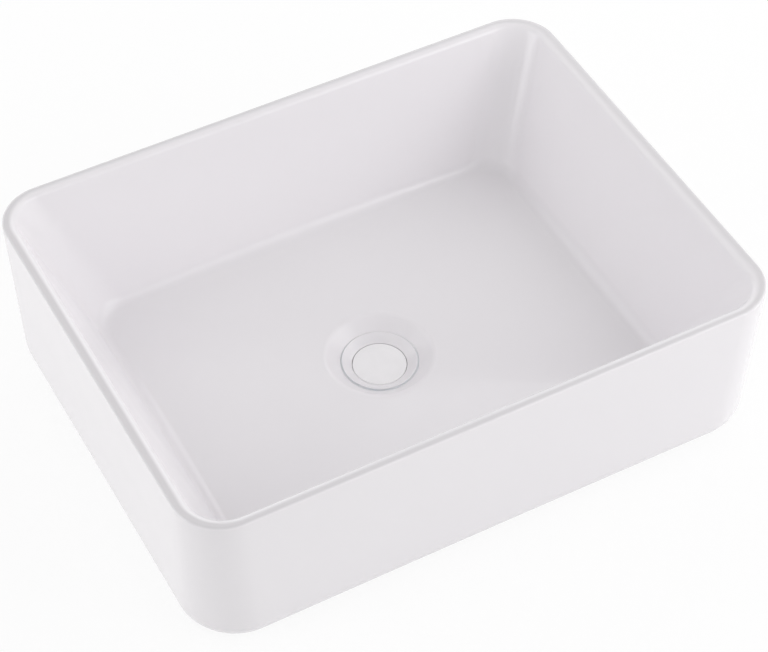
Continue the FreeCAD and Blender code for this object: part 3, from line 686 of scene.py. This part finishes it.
@dataclass
class Bowl:
    """The ceramic casting: the basin, the outer skirt and the foot."""

    finish: Finish
    side_taper: float = 2.5 * MM
    end_taper: float = 2.0 * MM
    rim_corner: float = 37.5 * MM
    foot_corner: float = 46.0 * MM
    foot_round: float = 20.0 * MM
    foot_width: float = 14.0 * MM
    foot_flange: float = 12.0 * MM
    side_rim_width: float = 9.6 * MM
    end_rim_width: float = 8.0 * MM
    rim_outer_round: float = 2.4 * MM
    rim_inner_round: float = 6.8 * MM
    side_wall_run: float = 44.4 * MM
    end_wall_run: float = 40.0 * MM
    floor_corner: float = 30.0 * MM
    floor_edge_round: float = 16.0 * MM
    floor_edge_height: float = 36.0 * MM
    floor_height: float = 24.5 * MM
    dish_radius: float = 47.0 * MM
    funnel_radius: float = 42.5 * MM
    funnel_round: float = 8.0 * MM
    hole_radius: float = 23.0 * MM
    hole_height: float = 10.0 * MM
    hole_round: float = 0.8 * MM
    wall: float = 9.5 * MM
    hollow_top: float = 98.0 * MM
    boss_radius: float = 46.0 * MM
    boss_underside: float = 4.5 * MM
    shell_round: float = 12.0 * MM
    cast_round: float = 3.0 * MM
    long_points: int = 28
    short_points: int = 20
    corner_points: int = 18
    round_steps: int = 8

    def __post_init__(self) -> None:
        """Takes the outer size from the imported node."""
        low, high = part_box("basin_bowl")
        self.half_x = (high.x - low.x) / 2.0
        self.half_y = (high.y - low.y) / 2.0
        self.height = high.z
        self.foot_x, self.foot_y = self.half_x - self.side_taper, self.half_y - self.end_taper
        self.mouth_x = self.half_x - self.side_rim_width
        self.mouth_y = self.half_y - self.end_rim_width

    def box_ring(self, half_x: float, half_y: float, corner: float, height: float) -> list[Vector]:
        """Gives a level rounded rectangle.

        Args:
            half_x: half its length.
            half_y: half its depth.
            corner: radius of its corners.
            height: height in the frame.

        Returns:
            One point for each column.
        """
        middles = [(1, 1), (-1, 1), (-1, -1), (1, -1)]
        parts = self.corner_points
        arcs = []
        for quarter, (to_x, to_y) in enumerate(middles):
            middle = Vector((to_x * (half_x - corner), to_y * (half_y - corner), height))
            angles = [math.pi / 2.0 * (quarter + k / parts) for k in range(parts + 1)]
            arcs.append([middle + Vector((math.cos(a), math.sin(a), 0.0)) * corner for a in angles])
        ring = []
        for quarter, arc in enumerate(arcs):
            ring += arc
            parts = self.short_points if quarter % 2 else self.long_points
            goal = arcs[(quarter + 1) % 4][0]
            ring += [arc[-1].lerp(goal, k / parts) for k in range(1, parts)]
        return ring

    def round_ring(self, radius: float, height: float) -> list[Vector]:
        """Gives a level circle whose points follow those of the rectangles, one for each column."""
        count = 4 * self.corner_points + 2 * (self.long_points + self.short_points)
        return [around(FULL_TURN * (k + self.short_points / 2.0) / count, radius, height)
                for k in range(count)]

    def glazed_turns(self) -> list[Turn]:
        """Gives the section's corners that show, from the foot over the rim to the drain.

        Returns:
            The corners in order.
        """
        foot = self.box_ring(self.foot_x, self.foot_y, self.foot_corner, 0.0)
        rim = self.box_ring(self.half_x, self.half_y, self.rim_corner, self.height)
        mouth = self.box_ring(self.mouth_x, self.mouth_y,
                              self.rim_corner - self.side_rim_width, self.height)
        floor = self.box_ring(self.mouth_x - self.side_wall_run, self.mouth_y - self.end_wall_run,
                              self.floor_corner, self.floor_edge_height)
        dish = self.round_ring(self.dish_radius, self.floor_height)
        funnel = self.round_ring(self.funnel_radius, self.floor_height)
        hole = self.round_ring(self.hole_radius, self.hole_height)
        return [
            Turn(foot, self.foot_round, 12, CoatAndShade.EVEN),
            # The rim's two roundings carry the painted shade of the crest, and the floor's edge the
            # painted shade of the crease.
            Turn(rim, self.rim_outer_round, 1, CoatAndShade.SHADE_UP_TO_CREST),
            Turn(mouth, self.rim_inner_round, 14, CoatAndShade.SHADE_DOWN_FROM_CREST),
            Turn(floor, self.floor_edge_round, 18, CoatAndShade.CREASE_SHADE),
            Turn(dish, 0.0, 1, CoatAndShade.EVEN),
            Turn(funnel, self.funnel_round, 4, CoatAndShade.EVEN),
            Turn(hole, self.hole_round, 2, CoatAndShade.EVEN),
        ]

    def hidden_turns(self) -> list[Turn]:
        """Gives the section's corners underneath, from the drain's boss back to the foot.

        Returns:
            The corners in order.
        """
        drop = self.height - self.floor_edge_height
        side_slope, end_slope = self.side_wall_run / drop, self.end_wall_run / drop
        side_wall = self.wall * math.hypot(1.0, side_slope)
        end_wall = self.wall * math.hypot(1.0, end_slope)

        def shell(height: float, corner: float) -> list[Vector]:
            """Gives the outside of the basin's wall at a height."""
            down = self.height - height
            return self.box_ring(self.mouth_x - side_slope * down + side_wall,
                                 self.mouth_y - end_slope * down + end_wall, corner, height)

        def skirt(height: float) -> list[Vector]:
            """Gives the inside of the skirt at a height."""
            share = height / self.height
            return self.box_ring(
                self.half_x - self.side_taper * (1.0 - share) - self.wall,
                self.half_y - self.end_taper * (1.0 - share) - self.wall,
                self.foot_corner + (self.rim_corner - self.foot_corner) * share - self.wall, height)

        def opening(height: float) -> list[Vector]:
            """Gives the edge of the opening in the foot at a height."""
            inset = self.foot_round + self.foot_width
            return self.box_ring(self.foot_x - inset, self.foot_y - inset,
                                 self.foot_corner - self.foot_round, height)

        boss_root, shell_low = self.floor_height - self.wall, self.floor_edge_height - self.wall
        cast = self.cast_round
        return [
            Turn(self.round_ring(self.hole_radius, self.boss_underside), self.hole_round, 2),
            Turn(self.round_ring(self.boss_radius, self.boss_underside), cast, 2),
            Turn(self.round_ring(self.boss_radius, boss_root), cast, 12),
            Turn(shell(shell_low, self.floor_corner + self.wall), self.shell_round, 8),
            Turn(shell(self.hollow_top, self.rim_corner), cast, 1),
            Turn(skirt(self.hollow_top), cast, 6),
            Turn(skirt(self.foot_flange), cast, 2),
            Turn(opening(self.foot_flange), cast, 2),
            Turn(opening(0.0), cast, 3),
        ]

    def build(self) -> None:
        """Builds the casting in one closed mesh and marks where painted shade darkens the floor's
        crease and the rim's crest, and where the glaze ends.
        """
        turns = self.glazed_turns() + self.hidden_turns()
        bends, rows = [t.bend for t in turns], [t.rows for t in turns]
        columns = [rounded_path(points, bends, rows, self.round_steps, True)
                   for points in zip(*(t.ring for t in turns))]
        mesh = mesh_of_columns([[s.point for s in c] for c in columns], True)
        for name in ("pool", "bare"):
            mesh.attributes.new(name, "FLOAT", "POINT")
        pool, bare = mesh.attributes["pool"].data, mesh.attributes["bare"].data
        for i, stop in enumerate(stop for column in columns for stop in column):
            coat = turns[stop.corner].coat
            bare[i].value = float(coat is CoatAndShade.BARE)
            pool[i].value = coat.pool(stop.share)
        dress("basin_bowl", mesh, self.finish, Body.BASIN)


@dataclass
class Waste:
    """The drain's flange and threaded tube, with the rings that seal and clamp it."""

    enamel: Finish
    silicone: Finish
    rubber: Finish
    nylon: Finish
    brass: Finish
    tube_radius: float = 20.95 * MM
    tail_round: float = 1.2 * MM
    throat_radius: float = 18.0 * MM
    thread_pitch: float = 2.309 * MM
    thread_depth: float = 1.479 * MM
    lip_radius: float = 30.0 * MM
    lip_low: float = 16.20 * MM
    recess_radius: float = 21.8 * MM
    recess_top: float = 12.35 * MM
    seat: float = 9.35 * MM
    neck_radius: float = 22.6 * MM
    neck_top: float = 10.70 * MM
    neck_low: float = 7.8 * MM
    neck_end: float = 6.15 * MM
    relief_top: float = -14.5 * MM
    relief_low: float = -17.0 * MM
    relief_radius: float = 20.15 * MM
    hub_bore: float = 8.1 * MM
    hub_radius: float = 11.0 * MM
    hub_top: float = -16.55 * MM
    hub_low: float = -23.55 * MM
    arm_width: float = 3.0 * MM
    arm_sink: float = 0.6 * MM
    arm_root: float = 0.8 * MM
    arm_round: float = 0.7 * MM
    arm_count: int = 4
    spigot_radius: float = 22.7 * MM
    spigot_tip: float = 22.2 * MM
    seal_bore: float = 24.1 * MM
    seal_round: float = 0.25 * MM
    seal_bead: float = 0.9 * MM
    bead_round: float = 0.1 * MM
    ring_bore: float = 21.25 * MM
    ring_round: float = 0.9 * MM
    boss_underside: float = 4.5 * MM
    nut_flats: float = 52.0 * MM
    nut_land: float = 0.4 * MM
    nut_bore: float = 21.05 * MM
    nut_flange: float = 2.5 * MM

    def add_spider(self, mesh: bpy.types.Mesh) -> None:
        """Adds the hub and arms that carry the cartridge.

        Args:
            mesh: the tube's mesh, which they join.
        """
        form = bmesh.new()
        form.from_mesh(mesh)
        hub = turned(ring_corners(self.hub_bore, self.hub_radius, self.hub_low, self.hub_top,
                                  (BROKEN, SOFT, SOFT, BROKEN)), columns=64)
        form.from_mesh(hub)
        bpy.data.meshes.remove(hub)
        inner, outer = self.hub_radius - self.arm_sink, self.throat_radius + self.arm_root
        depth = self.hub_top - self.hub_low - self.arm_sink
        size = Matrix.Diagonal((outer - inner, self.arm_width, depth, 1.0))
        middle = Vector(((inner + outer) / 2.0, 0.0, (self.hub_top + self.hub_low) / 2.0))
        for k in range(self.arm_count):
            swing = Matrix.Rotation(FULL_TURN * k / self.arm_count, 4, "Z")
            place = swing @ Matrix.Translation(middle) @ size
            arm = bmesh.ops.create_cube(form, size=1.0, matrix=place)
            edges = list(dict.fromkeys(e for vert in arm["verts"] for e in vert.link_edges))
            bmesh.ops.bevel(form, geom=edges, offset=self.arm_round, segments=3, profile=0.5,
                            affect="EDGES")
        form.to_mesh(mesh)
        form.free()

    def build_body(self) -> None:
        """Builds the flange, the threaded tube and the spider."""
        low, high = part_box("waste_body")
        upper = Thread(self.thread_pitch, self.thread_depth, self.relief_top, self.neck_end)
        lower = Thread(self.thread_pitch, self.thread_depth, low.z, self.relief_low)
        mesh = turned([
            Corner(self.recess_radius, self.recess_top, EASED, rows=2),
            Corner(self.lip_radius, high.z, EASED),
            Corner(self.lip_radius, self.lip_low, CRISP, rows=2),
            Corner(self.neck_radius, self.neck_top, CRISP),
            Corner(self.neck_radius, self.neck_low, CRISP),
            Corner(self.tube_radius, self.neck_end, skin=upper, rows=upper.rows),
            Corner(self.tube_radius, self.relief_top),
            Corner(self.relief_radius, self.relief_top),
            Corner(self.relief_radius, self.relief_low),
            Corner(self.tube_radius, self.relief_low, skin=lower, rows=lower.rows),
            Corner(self.tube_radius, low.z, self.tail_round),
            Corner(self.throat_radius, low.z, BROKEN, rows=8),
            Corner(self.throat_radius, self.seat, CRISP, rows=2),
            Corner(self.recess_radius, self.seat, CRISP),
        ], columns=120)
        self.add_spider(mesh)
        dress("waste_body", mesh, self.enamel, Body.BASIN)

    def build_rings(self) -> None:
        """Builds the seals, the washer and the nut."""
        low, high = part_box("flange_seal")
        slope = (self.lip_low - self.neck_top) / (self.lip_radius - self.neck_radius)
        inner_top = high.z - (high.x - self.seal_bore) * slope
        lip_top = inner_top + (self.lip_radius - self.seal_bore) * slope
        bead = self.lip_radius + self.seal_bead
        turn_piece("flange_seal", [
            Corner(self.seal_bore, low.z, self.seal_round),
            Corner(bead, low.z + (bead - self.seal_bore) * slope, self.bead_round),
            Corner(self.lip_radius, lip_top, self.seal_round),
            Corner(self.seal_bore, inner_top, self.seal_round),
        ], self.silicone)
        low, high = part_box("under_seal")
        turn_piece("under_seal", [
            Corner(self.ring_bore, low.z, BROKEN),
            Corner(high.x, low.z, self.ring_round),
            Corner(high.x, self.boss_underside, self.ring_round),
            Corner(self.spigot_radius, self.boss_underside, CRISP),
            Corner(self.spigot_tip, high.z, CRISP),
            Corner(self.ring_bore, high.z, CRISP),
        ], self.rubber)
        low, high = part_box("slip_washer")
        washer = ring_corners(self.ring_bore, high.x, low.z, high.z, (KEEN, BROKEN, BROKEN, KEEN))
        turn_piece("slip_washer", washer, self.nylon)
        low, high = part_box("backnut")
        flats = Hexagon(self.nut_flats)
        shoulder = high.z - self.nut_flange
        turn_piece("backnut", [
            Corner(self.nut_bore, low.z, EASED),
            Corner(self.nut_flats / 2.0 - self.nut_land, low.z),
            Corner(flats.reach, low.z + flats.bevel, skin=flats, rows=4),
            Corner(flats.reach, shoulder, skin=flats),
            Corner(high.x, shoulder, EASED),
            Corner(high.x, high.z, EASED),
            Corner(self.nut_bore, high.z, BROKEN),
        ], self.brass, columns=144)


@dataclass
class Cartridge:
    """The click mechanism under the plug: sleeve, base, spring and cam."""

    nylon: Finish
    cam_nylon: Finish
    steel: Finish
    bore: float = 6.4 * MM
    mouth: float = 4.3 * MM
    mouth_round: float = 0.6 * MM
    lip: float = 2.0 * MM
    sleeve_radius: float = 8.0 * MM
    collar_low: float = -16.55 * MM
    collar_height: float = 3.0 * MM
    collar_flats: float = 19.0 * MM
    collar_ease: float = 0.3 * MM
    base_plug_radius: float = 6.3 * MM
    base_flange: float = 1.5 * MM
    key_flats: float = 6.0 * MM
    key_depth: float = 1.2 * MM
    wire: float = 0.4 * MM
    wire_sides: int = 12
    spring_radius: float = 4.6 * MM
    spring_turns: float = 5.0
    end_turn: float = 0.75
    end_rise: float = 0.12
    turn_steps: int = 36
    post_radius: float = 2.2 * MM
    post_length: float = 3.5 * MM
    drum_play: float = 0.3 * MM
    teeth: Crown = Crown(1.0)

    def wind_spring(self, low: float, high: float) -> bpy.types.Mesh:
        """Winds round wire into a spring whose end turns lie flat.

        Args:
            low: the spring's lowest point.
            high: its highest point.

        Returns:
            The closed mesh.
        """
        form = bmesh.new()
        turns, wire, sides = self.spring_turns, self.wire, self.wire_sides
        count = int(turns * self.turn_steps)
        rings = []
        for i in range(count + 1):
            share = i / count
            lift = (share * turns - self.end_turn) / (turns - 2.0 * self.end_turn)
            climb = self.end_rise * share + (1.0 - self.end_rise) * min(max(lift, 0.0), 1.0)
            middle = low + wire + (high - low - 2.0 * wire) * climb
            ring = []
            for k in range(sides):
                side = FULL_TURN * k / sides
                reach = self.spring_radius + wire * math.cos(side)
                height = middle + wire * math.sin(side)
                ring.append(form.verts.new(around(FULL_TURN * turns * share, reach, height)))
            rings.append(ring)
        for ring, after in zip(rings, rings[1:]):
            for k in range(sides):
                beside = (k + 1) % sides
                form.faces.new((ring[k], ring[beside], after[beside], after[k]))
        form.faces.new(rings[0])
        form.faces.new(rings[-1])
        return mesh_of_form(form)

    def build(self) -> None:
        """Builds the four pieces."""
        low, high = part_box("cartridge_housing")
        collar = Hexagon(self.collar_flats)
        reach = collar.reach - self.collar_ease
        collar_top = self.collar_low + self.collar_height
        turn_piece("cartridge_housing", [
            Corner(self.bore, low.z, CRISP),
            Corner(self.sleeve_radius, low.z, BROKEN, rows=3),
            Corner(self.sleeve_radius, self.collar_low),
            Corner(reach, self.collar_low, skin=collar, rows=2),
            Corner(reach, collar_top, skin=collar),
            Corner(self.sleeve_radius, collar_top, rows=3),
            Corner(self.sleeve_radius, high.z, self.mouth_round),
            Corner(self.mouth, high.z, BROKEN),
            Corner(self.mouth, high.z - self.lip),
            Corner(self.bore, high.z - self.lip, rows=4),
        ], self.nylon, columns=72)
        low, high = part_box("cartridge_base")
        key = Hexagon(self.key_flats)
        turn_piece("cartridge_base", [
            Corner(0.0, low.z + self.key_depth),
            Corner(key.reach, low.z + self.key_depth, skin=key),
            Corner(key.reach, low.z, skin=key),
            Corner(self.sleeve_radius, low.z, BROKEN),
            Corner(self.sleeve_radius, low.z + self.base_flange, KEEN),
            Corner(self.base_plug_radius, low.z + self.base_flange),
            Corner(self.base_plug_radius, high.z, BROKEN),
            Corner(0.0, high.z),
        ], self.nylon, columns=72)
        low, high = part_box("click_spring")
        piece = dress("click_spring", self.wind_spring(low.z, high.z), self.steel, None)
        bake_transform(piece)
        low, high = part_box("click_rotor")
        drum_low, drum_top = low.z + self.post_length, high.z - self.teeth.depth
        drum = self.bore - self.drum_play
        turn_piece("click_rotor", [
            Corner(0.0, low.z),
            Corner(self.post_radius, low.z, EASED),
            Corner(self.post_radius, drum_low),
            Corner(drum, drum_low, CRISP),
            Corner(drum, drum_top),
            Corner(self.teeth.tip, drum_top),
            Corner(self.teeth.tip, high.z, skin=self.teeth, rows=2),
            Corner(self.teeth.root, high.z, skin=self.teeth),
            Corner(self.teeth.root, drum_top),
            Corner(0.0, drum_top),
        ], self.cam_nylon, Body.ROTOR, columns=80)


@dataclass
class Plug:
    """The push-down plug with its seal, stem, locknut and plunger."""

    enamel: Finish
    rubber: Finish
    brass: Finish
    cam_nylon: Finish
    plate: float = 2.4 * MM
    crown: float = 0.35 * MM
    crown_round: float = 30.0 * MM
    edge_round: float = 0.8 * MM
    boss_radius: float = 5.5 * MM
    stem_bore: float = 3.1 * MM
    stem_cover: float = 1.8 * MM
    groove_inner: float = 18.8 * MM
    groove_outer: float = 20.9 * MM
    groove_depth: float = 0.8 * MM
    seal_inner: float = 18.9 * MM
    stem_radius: float = 3.0 * MM
    stem_chamfer: float = 0.5 * MM
    stem_pitch: float = 1.0 * MM
    stem_thread: float = 0.61 * MM
    nut_flats: float = 12.0 * MM
    nut_land: float = 0.2 * MM
    drum_radius: float = 6.1 * MM
    drum_height: float = 8.0 * MM
    rod_radius: float = 4.0 * MM
    rod_bore_depth: float = 10.1 * MM
    teeth: Crown = Crown(-1.0)

    def build_cap(self) -> None:
        """Builds the cap with its slightly crowned top, and the seal in its groove."""
        low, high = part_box("plug_cap")
        under = high.z - self.plate
        groove = under + self.groove_depth
        turn_piece("plug_cap", [
            Corner(0.0, high.z - self.stem_cover),
            Corner(self.stem_bore, high.z - self.stem_cover),
            Corner(self.stem_bore, low.z, CRISP),
            Corner(self.boss_radius, low.z, BROKEN),
            Corner(self.boss_radius, under, SOFT, rows=2),
            Corner(self.groove_inner, under, KEEN),
            Corner(self.groove_inner, groove),
            Corner(self.groove_outer, groove),
            Corner(self.groove_outer, under),
            Corner(high.x, under, KEEN),
            Corner(high.x, high.z, self.edge_round, rows=3),
            Corner(0.6 * high.x, high.z + 0.75 * self.crown, self.crown_round, rows=3),
            Corner(0.0, high.z + self.crown),
        ], self.enamel, Body.PLUG, columns=120, steps=6)
        low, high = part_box("plug_seal")
        seal = ring_corners(self.seal_inner, high.x, low.z, high.z, (EASED, EASED, KEEN, KEEN))
        turn_piece("plug_seal", seal, self.rubber, Body.PLUG)

    def build_stem(self) -> None:
        """Builds the threaded stem, its locknut and the plunger."""
        low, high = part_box("plug_stem")
        thread = Thread(self.stem_pitch, self.stem_thread, low.z, high.z)
        tip = self.stem_radius - self.stem_chamfer
        turn_piece("plug_stem", [
            Corner(0.0, low.z),
            Corner(tip, low.z),
            Corner(self.stem_radius, low.z + self.stem_chamfer, skin=thread, rows=thread.rows),
            Corner(self.stem_radius, high.z - self.stem_chamfer),
            Corner(tip, high.z),
            Corner(0.0, high.z),
        ], self.brass, Body.PLUG, columns=48)
        low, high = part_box("stem_locknut")
        flats = Hexagon(self.nut_flats)
        land = self.nut_flats / 2.0 - self.nut_land
        turn_piece("stem_locknut", [
            Corner(self.stem_bore, low.z, CRISP),
            Corner(land, low.z),
            Corner(flats.reach, low.z + flats.bevel, skin=flats, rows=3),
            Corner(flats.reach, high.z - flats.bevel, skin=flats),
            Corner(land, high.z),
            Corner(self.stem_bore, high.z, CRISP),
        ], self.brass, Body.PLUG)
        low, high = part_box("plunger")
        drum_low, drum_top = low.z + self.teeth.depth, low.z + self.drum_height
        bore_end = high.z - self.rod_bore_depth
        turn_piece("plunger", [
            Corner(0.0, drum_low),
            Corner(self.teeth.root, drum_low),
            Corner(self.teeth.root, low.z, skin=self.teeth, rows=2),
            Corner(self.teeth.tip, low.z, skin=self.teeth),
            Corner(self.teeth.tip, drum_low),
            Corner(self.drum_radius, drum_low),
            Corner(self.drum_radius, drum_top, BROKEN),
            Corner(self.rod_radius, drum_top, CRISP, rows=3),
            Corner(self.rod_radius, high.z, BROKEN),
            Corner(self.stem_bore, high.z, KEEN),
            Corner(self.stem_bore, bore_end),
            Corner(0.0, bore_end),
        ], self.cam_nylon, Body.PLUG, columns=80)


def direction(azimuth: float, elevation: float) -> Vector:
    """Gives the way, of length 1, at degrees round to the right of the front and above level."""
    turn, rise = math.radians(azimuth), math.radians(elevation)
    return Vector((math.sin(turn) * math.cos(rise), -math.cos(turn) * math.cos(rise),
                   math.sin(rise)))


@dataclass(frozen=True)
class Lamp:
    """A square soft light that points at the basin."""

    name: str
    azimuth: float
    elevation: float
    power: float
    distance: float = 2.2
    size: float = 1.2

    def hang(self, aim: Vector) -> None:
        """Adds the lamp to the scene.

        Args:
            aim: the point that it shines at.
        """
        light = bpy.data.lights.new(self.name, "AREA")
        light.size = self.size
        light.energy = self.power
        lamp = bpy.data.objects.new(self.name, light)
        back = direction(self.azimuth, self.elevation)
        turn = back.to_track_quat("Z", "Y").to_matrix()
        lamp.matrix_world = Matrix.Translation(aim + back * self.distance) @ turn.to_4x4()
        bpy.context.scene.collection.objects.link(lamp)


LAMPS = (
    Lamp("front", 20.0, 30.0, 4.3),
    Lamp("low_front_right", 35.0, 12.0, 3.7),
    Lamp("front_right", 45.0, 30.0, 6.1),
    Lamp("low_right", 66.0, 12.0, 4.6),
    Lamp("right", 83.0, 42.0, 5.6),
    Lamp("back_right", 140.0, 26.0, 5.2),
    Lamp("low_back", 180.0, 14.0, 5.2),
    Lamp("back_left", -135.0, 40.0, 4.0),
    Lamp("low_left", -100.0, 12.0, 10.0),
    Lamp("left", -80.0, 40.0, 1.9),
)


@dataclass
class Studio:
    """The white floor and surroundings, the lamps and the camera."""

    floor_radius: float = 2.0
    floor_points: int = 64
    cut_out: float = 40.0 * MM
    floor_colour: Colour = (0.88, 0.88, 0.88)
    glow: float = 0.86
    even_light: float = 0.31
    ring_light: float = 0.36
    azimuth: float = -28.346
    elevation: float = 47.558
    distance: float = 1.90355
    lens: float = 116.334
    shift_x: float = 0.00568
    shift_y: float = -0.01659
    farthest: float = 100.0

    @staticmethod
    def seen(recipe: Recipe) -> Socket:
        """Gives 1 for rays from the camera, a reflection or a see-through piece, and else 0."""
        camera = recipe.node("ShaderNodeLightPath", output="Is Camera Ray")
        return camera.at_least(camera.beside("Is Glossy Ray")).at_least(
            camera.beside("Is Transmission Ray"))

    def build_floor(self) -> None:
        """Lays a round floor with a cut-out for the tail; it shows white and keeps the shadow."""
        count = self.floor_points
        ways = [direction(360.0 * k / count, 0.0) for k in range(count)]
        points = [way * reach for reach in (self.cut_out, self.floor_radius) for way in ways]
        rim = [(k, (k + 1) % count) for k in range(count)]
        mesh = bpy.data.meshes.new("floor")
        mesh.from_pydata(points, [], [(a, a + count, b + count, b) for a, b in rim])
        material, recipe = start_material("floor")
        plain = recipe.node("ShaderNodeBsdfDiffuse", None, {"Color": self.floor_colour})
        white = recipe.node("ShaderNodeBsdfDiffuse", None, {"Color": WHITE})
        glow = recipe.node("ShaderNodeEmission", None, {"Color": WHITE, "Strength": 1.0})
        shown = recipe.node("ShaderNodeMixShader", None, {0: self.glow, 1: white, 2: glow})
        both = recipe.node("ShaderNodeMixShader", None, {0: self.seen(recipe), 1: plain, 2: shown})
        recipe.node("ShaderNodeOutputMaterial", None, {"Surface": both})
        mesh.materials.append(material)
        floor = bpy.data.objects.new("floor", mesh)
        bpy.context.scene.collection.objects.link(floor)
        LOG.info("floor: %.1f m radius", self.floor_radius)

    def build_world(self) -> None:
        """Sets the surroundings, which show white and give a ring of soft light half way up."""
        world = bpy.data.worlds.new("surroundings")
        world.use_nodes = True
        recipe = Recipe(world.node_tree)
        way = recipe.node("ShaderNodeTexCoord", output="Generated")
        rise = recipe.node("ShaderNodeSeparateXYZ", None, {0: way}, "Z").at_least(0.0)
        light = self.even_light + 4.0 * self.ring_light * rise * (1.0 - rise)
        strength = light + self.seen(recipe) * (1.0 - light)
        sky = recipe.node("ShaderNodeBackground", None, {"Color": WHITE, "Strength": strength})
        recipe.node("ShaderNodeOutputWorld", None, {"Surface": sky})
        bpy.context.scene.world = world

    def build_camera(self, aim: Vector) -> None:
        """Sets the camera at the photograph's angle.

        Args:
            aim: the point on its axis.
        """
        lens = bpy.data.cameras.new("camera")
        lens.lens = self.lens
        lens.shift_x = self.shift_x
        lens.shift_y = self.shift_y
        lens.clip_end = self.farthest
        camera = bpy.data.objects.new("camera", lens)
        back = direction(self.azimuth, self.elevation)
        right = Vector((0.0, 0.0, 1.0)).cross(back).normalized()
        turn = Matrix((right, back.cross(right), back)).transposed()
        camera.matrix_world = Matrix.Translation(aim + back * self.distance) @ turn.to_4x4()
        bpy.context.scene.collection.objects.link(camera)
        bpy.context.scene.camera = camera

    def build(self) -> None:
        """Builds the studio round the basin's middle."""
        low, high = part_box("basin_bowl")
        aim = (low + high) / 2.0
        self.build_floor()
        self.build_world()
        for lamp in LAMPS:
            lamp.hang(aim)
        self.build_camera(aim)
        bpy.context.scene.view_settings.view_transform = "Standard"


def main() -> None:
    """Builds the washbasin and its studio."""
    logging.basicConfig(level=logging.INFO, format="%(name)s: %(message)s")
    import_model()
    cap_enamel = Enamel()
    flange_enamel = Enamel(colour=(0.87, 0.85, 0.87), patches=(0.85, 0.83, 0.855), dullness=0.2)
    black_rubber = Rubber("black_rubber", (0.022, 0.022, 0.023), (0.06, 0.06, 0.06), 0.6)
    silicone = Rubber("clear_rubber", (0.84, 0.83, 0.83), (0.78, 0.77, 0.77), 0.35, soft_light=0.3)
    nylon = Moulding("nylon", (0.82, 0.81, 0.78), (0.76, 0.75, 0.71))
    cam_nylon = Moulding("cam_nylon", (0.50, 0.52, 0.55), (0.42, 0.44, 0.47))
    brass = Metal("brass", (0.80, 0.62, 0.33), (0.55, 0.38, 0.18), 0.22)
    steel = Metal("spring_steel", (0.62, 0.62, 0.61), (0.42, 0.41, 0.40), 0.2)
    Bowl(Glaze()).build()
    waste = Waste(flange_enamel, silicone, black_rubber, nylon, brass)
    waste.build_body()
    waste.build_rings()
    Cartridge(nylon, cam_nylon, steel).build()
    plug = Plug(cap_enamel, black_rubber, brass, cam_nylon)
    plug.build_cap()
    plug.build_stem()
    Studio().build()


if __name__ == "__main__":
    main()
